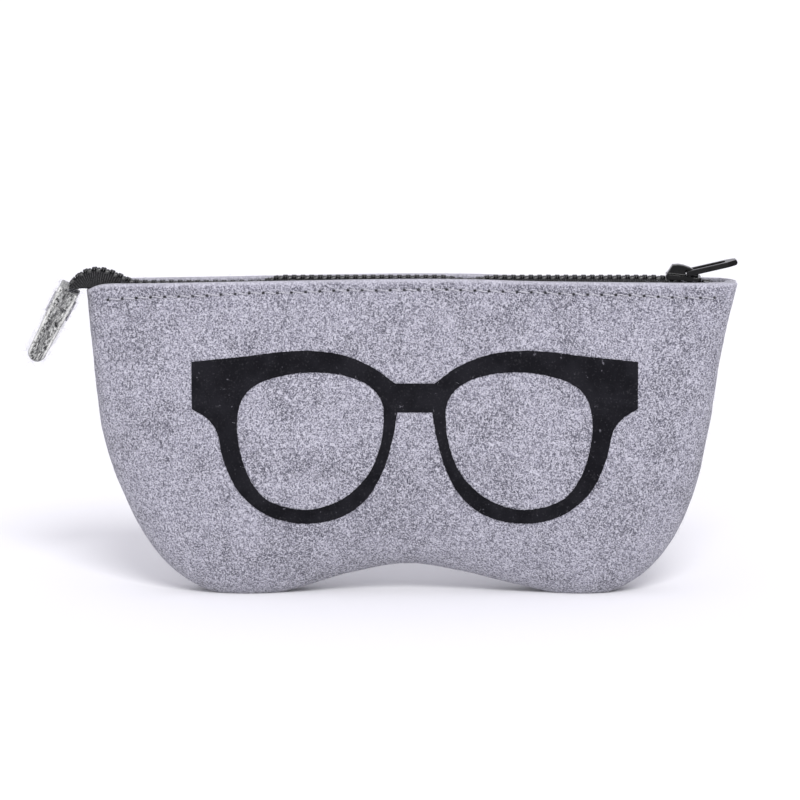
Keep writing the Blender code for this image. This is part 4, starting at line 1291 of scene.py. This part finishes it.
FELT_TONES = ((0.228, 0.223, 0.270), (0.490, 0.482, 0.545), (0.046, 0.045, 0.061))
felt = felt_material("grey_felt", *FELT_TONES, panel=True)
tab_felt = cut_felt_material("tab_felt", (0.270, 0.272, 0.268), (0.640, 0.640, 0.620), (0.036, 0.036, 0.038),
                             TAB_DIRECTION)
ink = print_material("black_print")
cloth = tape_material("zip_tape")
plastic = plastic_material("zip_teeth")
enamel = enamel_material("slider_metal")
thread = thread_material("grey_thread", (0.26, 0.255, 0.29), (0.46, 0.455, 0.50))
hair = thread_material("felt_hair", (0.22, 0.22, 0.26), (0.50, 0.50, 0.56))


def ride(obj, body, slot, *nodes):
    """A piece that moves with one body."""
    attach(obj, body)
    if nodes:
        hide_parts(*nodes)
    return obj


def bend(obj, half, slot, *nodes):
    """A piece of the front: its placing is baked into its mesh, and the frame's pieces that it stands for are hidden.
    """
    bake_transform(obj)
    if nodes:
        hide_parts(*nodes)
    return obj


def bend_tail(obj, slot, *nodes):
    """A piece of the tail: its placing is baked into its mesh, and the frame's pieces that it stands for are hidden.
    """
    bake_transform(obj)
    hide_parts(*nodes)
    return obj


def outside_of_panel(side):
    """Keeps the faces on a panel's outside and round its rim, apart from those under the print."""
    def keep(centres, normals):
        bare = (normals[:, 1] * side > -0.3) & (np.abs(centres[:, 1]) > 0.0030)
        if side < 0:
            half, lens = spectacles_outline(60, 40, 80)
            flat = np.column_stack([np.abs(centres[:, 0] - PRINT_X), centres[:, 2]])
            bare &= ~inside(flat, closed_at_bridge(half)) | inside(flat, lens)
        return bare
    return keep


back = ride(felt_solid("back_felt", 1, felt), "back", "grey_felt", "back_panel")
back_fuzz = ride(loose_fibres("back_fuzz", *felt_roots(back, BACK_HAIRS, 3, outside_of_panel(1)), hair, 4),
                 "back", "grey_felt")
back_stitching = ride(top_stitches("back_stitches", 1, -1, 1, thread), "back", "grey_thread", "back_top_stitch")
back_seam = ride(seam_stitches("back_seam_stitches", 1, -1, 1, thread), "back", "grey_thread",
                 "seam_needle_thread")

whole_front = felt_solid("whole_front", -1, felt)
pivot = min(stitch_places(), key=lambda x: abs(x - SPLIT_X))
for half, way in (("left", -1), ("right", 1)):
    low, high = (-1.0, SPLIT_X) if way < 0 else (SPLIT_X, 1.0)
    panel = split(f"front_felt_{half}", whole_front, CASE_X + SPLIT_X, way < 0)
    bend(panel, half, "grey_felt", "front_panel")
    roots = felt_roots(panel, FRONT_HAIRS, 7 + way, outside_of_panel(-1))
    fuzz = bend(loose_fibres(f"front_fuzz_{half}", *roots, hair, 11 + way), half, "grey_felt")
    printed = bend(print_half(f"print_{half}", way, ink), half, "black_print", "glasses_print")
    ends = (-1, pivot) if way < 0 else (pivot, 1)
    stitching = bend(top_stitches(f"front_stitches_{half}", -1, *ends, thread), half, "grey_thread",
                     "front_top_stitch")
    seam = bend(seam_stitches(f"front_seam_stitches_{half}", -1, low, high, thread), half, "grey_thread",
                "seam_bobbin_thread")
    tape = mouth_tape(f"front_zip_tape_{half}", -1, cloth, max(low, CHAIN_LEFT), min(high, TAPE_RIGHT))
    bend(tape, half, "zip_tape", "front_tape")
    row = teeth(f"front_zip_teeth_{half}", -1, max(low, CHAIN_LEFT), min(high, TEETH_RIGHT), plastic)
    bend(row, half, "zip_teeth", "front_teeth")
remove(whole_front)

ride(mouth_tape("back_zip_tape", 1, cloth, CHAIN_LEFT, TAPE_RIGHT), "back", "zip_tape", "back_tape")
ride(teeth("back_zip_teeth", 1, CHAIN_LEFT, TEETH_RIGHT, plastic), "back", "zip_teeth", "back_teeth")
for side, label, body in ((1, "back", "back"), (-1, "front", "front")):
    edges = sorted((side * (0.0002 + ROW_SPREAD), side * (ROW_OUTER + ROW_SPREAD)))
    stop = stop_block(f"{label}_closed_end_stop", *edges, STOP, plastic)
    if side > 0:
        ride(stop, "back", "zip_teeth", "back_top_stop")
    else:
        bend(stop, "right", "zip_teeth", "front_top_stop")
    bend_tail(tail_tape(f"tail_{label}_zip_tape", side, cloth), "zip_tape", f"tail_{label}_tape")
    row = teeth(f"tail_{label}_zip_teeth", side, STRAIGHT_START - TAIL_TEETH_END, CHAIN_LEFT + 0.0004, plastic)
    bend_tail(row, "zip_teeth", f"tail_{label}_teeth")
stop_places = (STRAIGHT_START - TAIL_STOP_END, STRAIGHT_START - TAIL_TEETH_END - GAP)
ride(stop_block("open_end_stop", -ROW_OUTER, ROW_OUTER, stop_places, plastic), "tail", "zip_teeth", "bottom_stop")

tab = ride(felt_tab("felt_tab", tab_felt), "tail", "grey_felt", "end_tab")
roots = felt_roots(tab, TAB_HAIRS, 21, lambda centres, normals: np.ones(len(centres), bool))
tab_fuzz = ride(loose_fibres("tab_fuzz", *roots, hair, 22, (0.0015, 0.0060), 0.0007), "tail", "grey_felt")
tab_thread = ride(tab_stitches("tab_stitches", thread), "tail", "grey_thread", "end_tab_stitch")

slider_middle, _, _ = chain_frame(SLIDER_PLACE)
shape, cuts = slider_parts()
ride(cast("zip_slider", shape, cuts, 0.00011, enamel, slider_middle, BEND_ANGLE), "slider", "slider_metal",
     "slider_body", "slider_cap")
pull_place = turned([(PULL_PIVOT[0], 0, PULL_PIVOT[1])], slider_middle, BEND_ANGLE)[0]
shape, cuts = pull_parts()
ride(cast("pull_frame", shape, cuts, 0.00009, enamel, pull_place, -PULL_ANGLE), "pull", "slider_metal",
     "pull_tab")


# Floor, light and camera

def distant_light(name, strength, rise, side, across):
    """A soft light from far off in front."""
    rise, side = math.radians(rise), math.radians(side)
    light = bpy.data.lights.new(name, "SUN")
    light.energy = strength
    light.angle = math.radians(across)
    towards = Vector((math.sin(side) * math.cos(rise), -math.cos(side) * math.cos(rise), math.sin(rise)))
    placed(name, light).rotation_euler = towards.to_track_quat("Z", "Y").to_euler()


ground = Nodes("white_ground")
ground.set(Base_Color=(0.90, 0.895, 0.915, 1), Roughness=0.9, Specular_IOR_Level=0.1)
floor = bpy.data.meshes.new("floor")
floor.from_pydata([(-40, -40, 0), (40, -40, 0), (40, 40, 0), (-40, 40, 0)], [], [(0, 1, 2, 3)])
floor.materials.append(ground.material)
placed("floor", floor)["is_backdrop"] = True

world = bpy.data.worlds.new("white_surround")
world.use_nodes = True
world.node_tree.nodes["Background"].inputs["Color"].default_value = (0.94, 0.93, 1, 1)
world.node_tree.nodes["Background"].inputs["Strength"].default_value = WORLD_STRENGTH
bpy.context.scene.world = world
bpy.context.scene.view_settings.view_transform = "Standard"
for light in LIGHTS:
    distant_light(*light)

camera = placed("camera", bpy.data.cameras.new("camera"))
camera.data.lens = CAMERA_LENS
camera.data.clip_start, camera.data.clip_end = 0.05, 100
down = math.radians(CAMERA_DOWN)
camera.location = Vector(CAMERA_TARGET) + CAMERA_DISTANCE * Vector((0, -math.cos(down), math.sin(down)))
camera.rotation_euler = (math.pi / 2 - down, 0, 0)
bpy.context.scene.camera = camera

low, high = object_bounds()
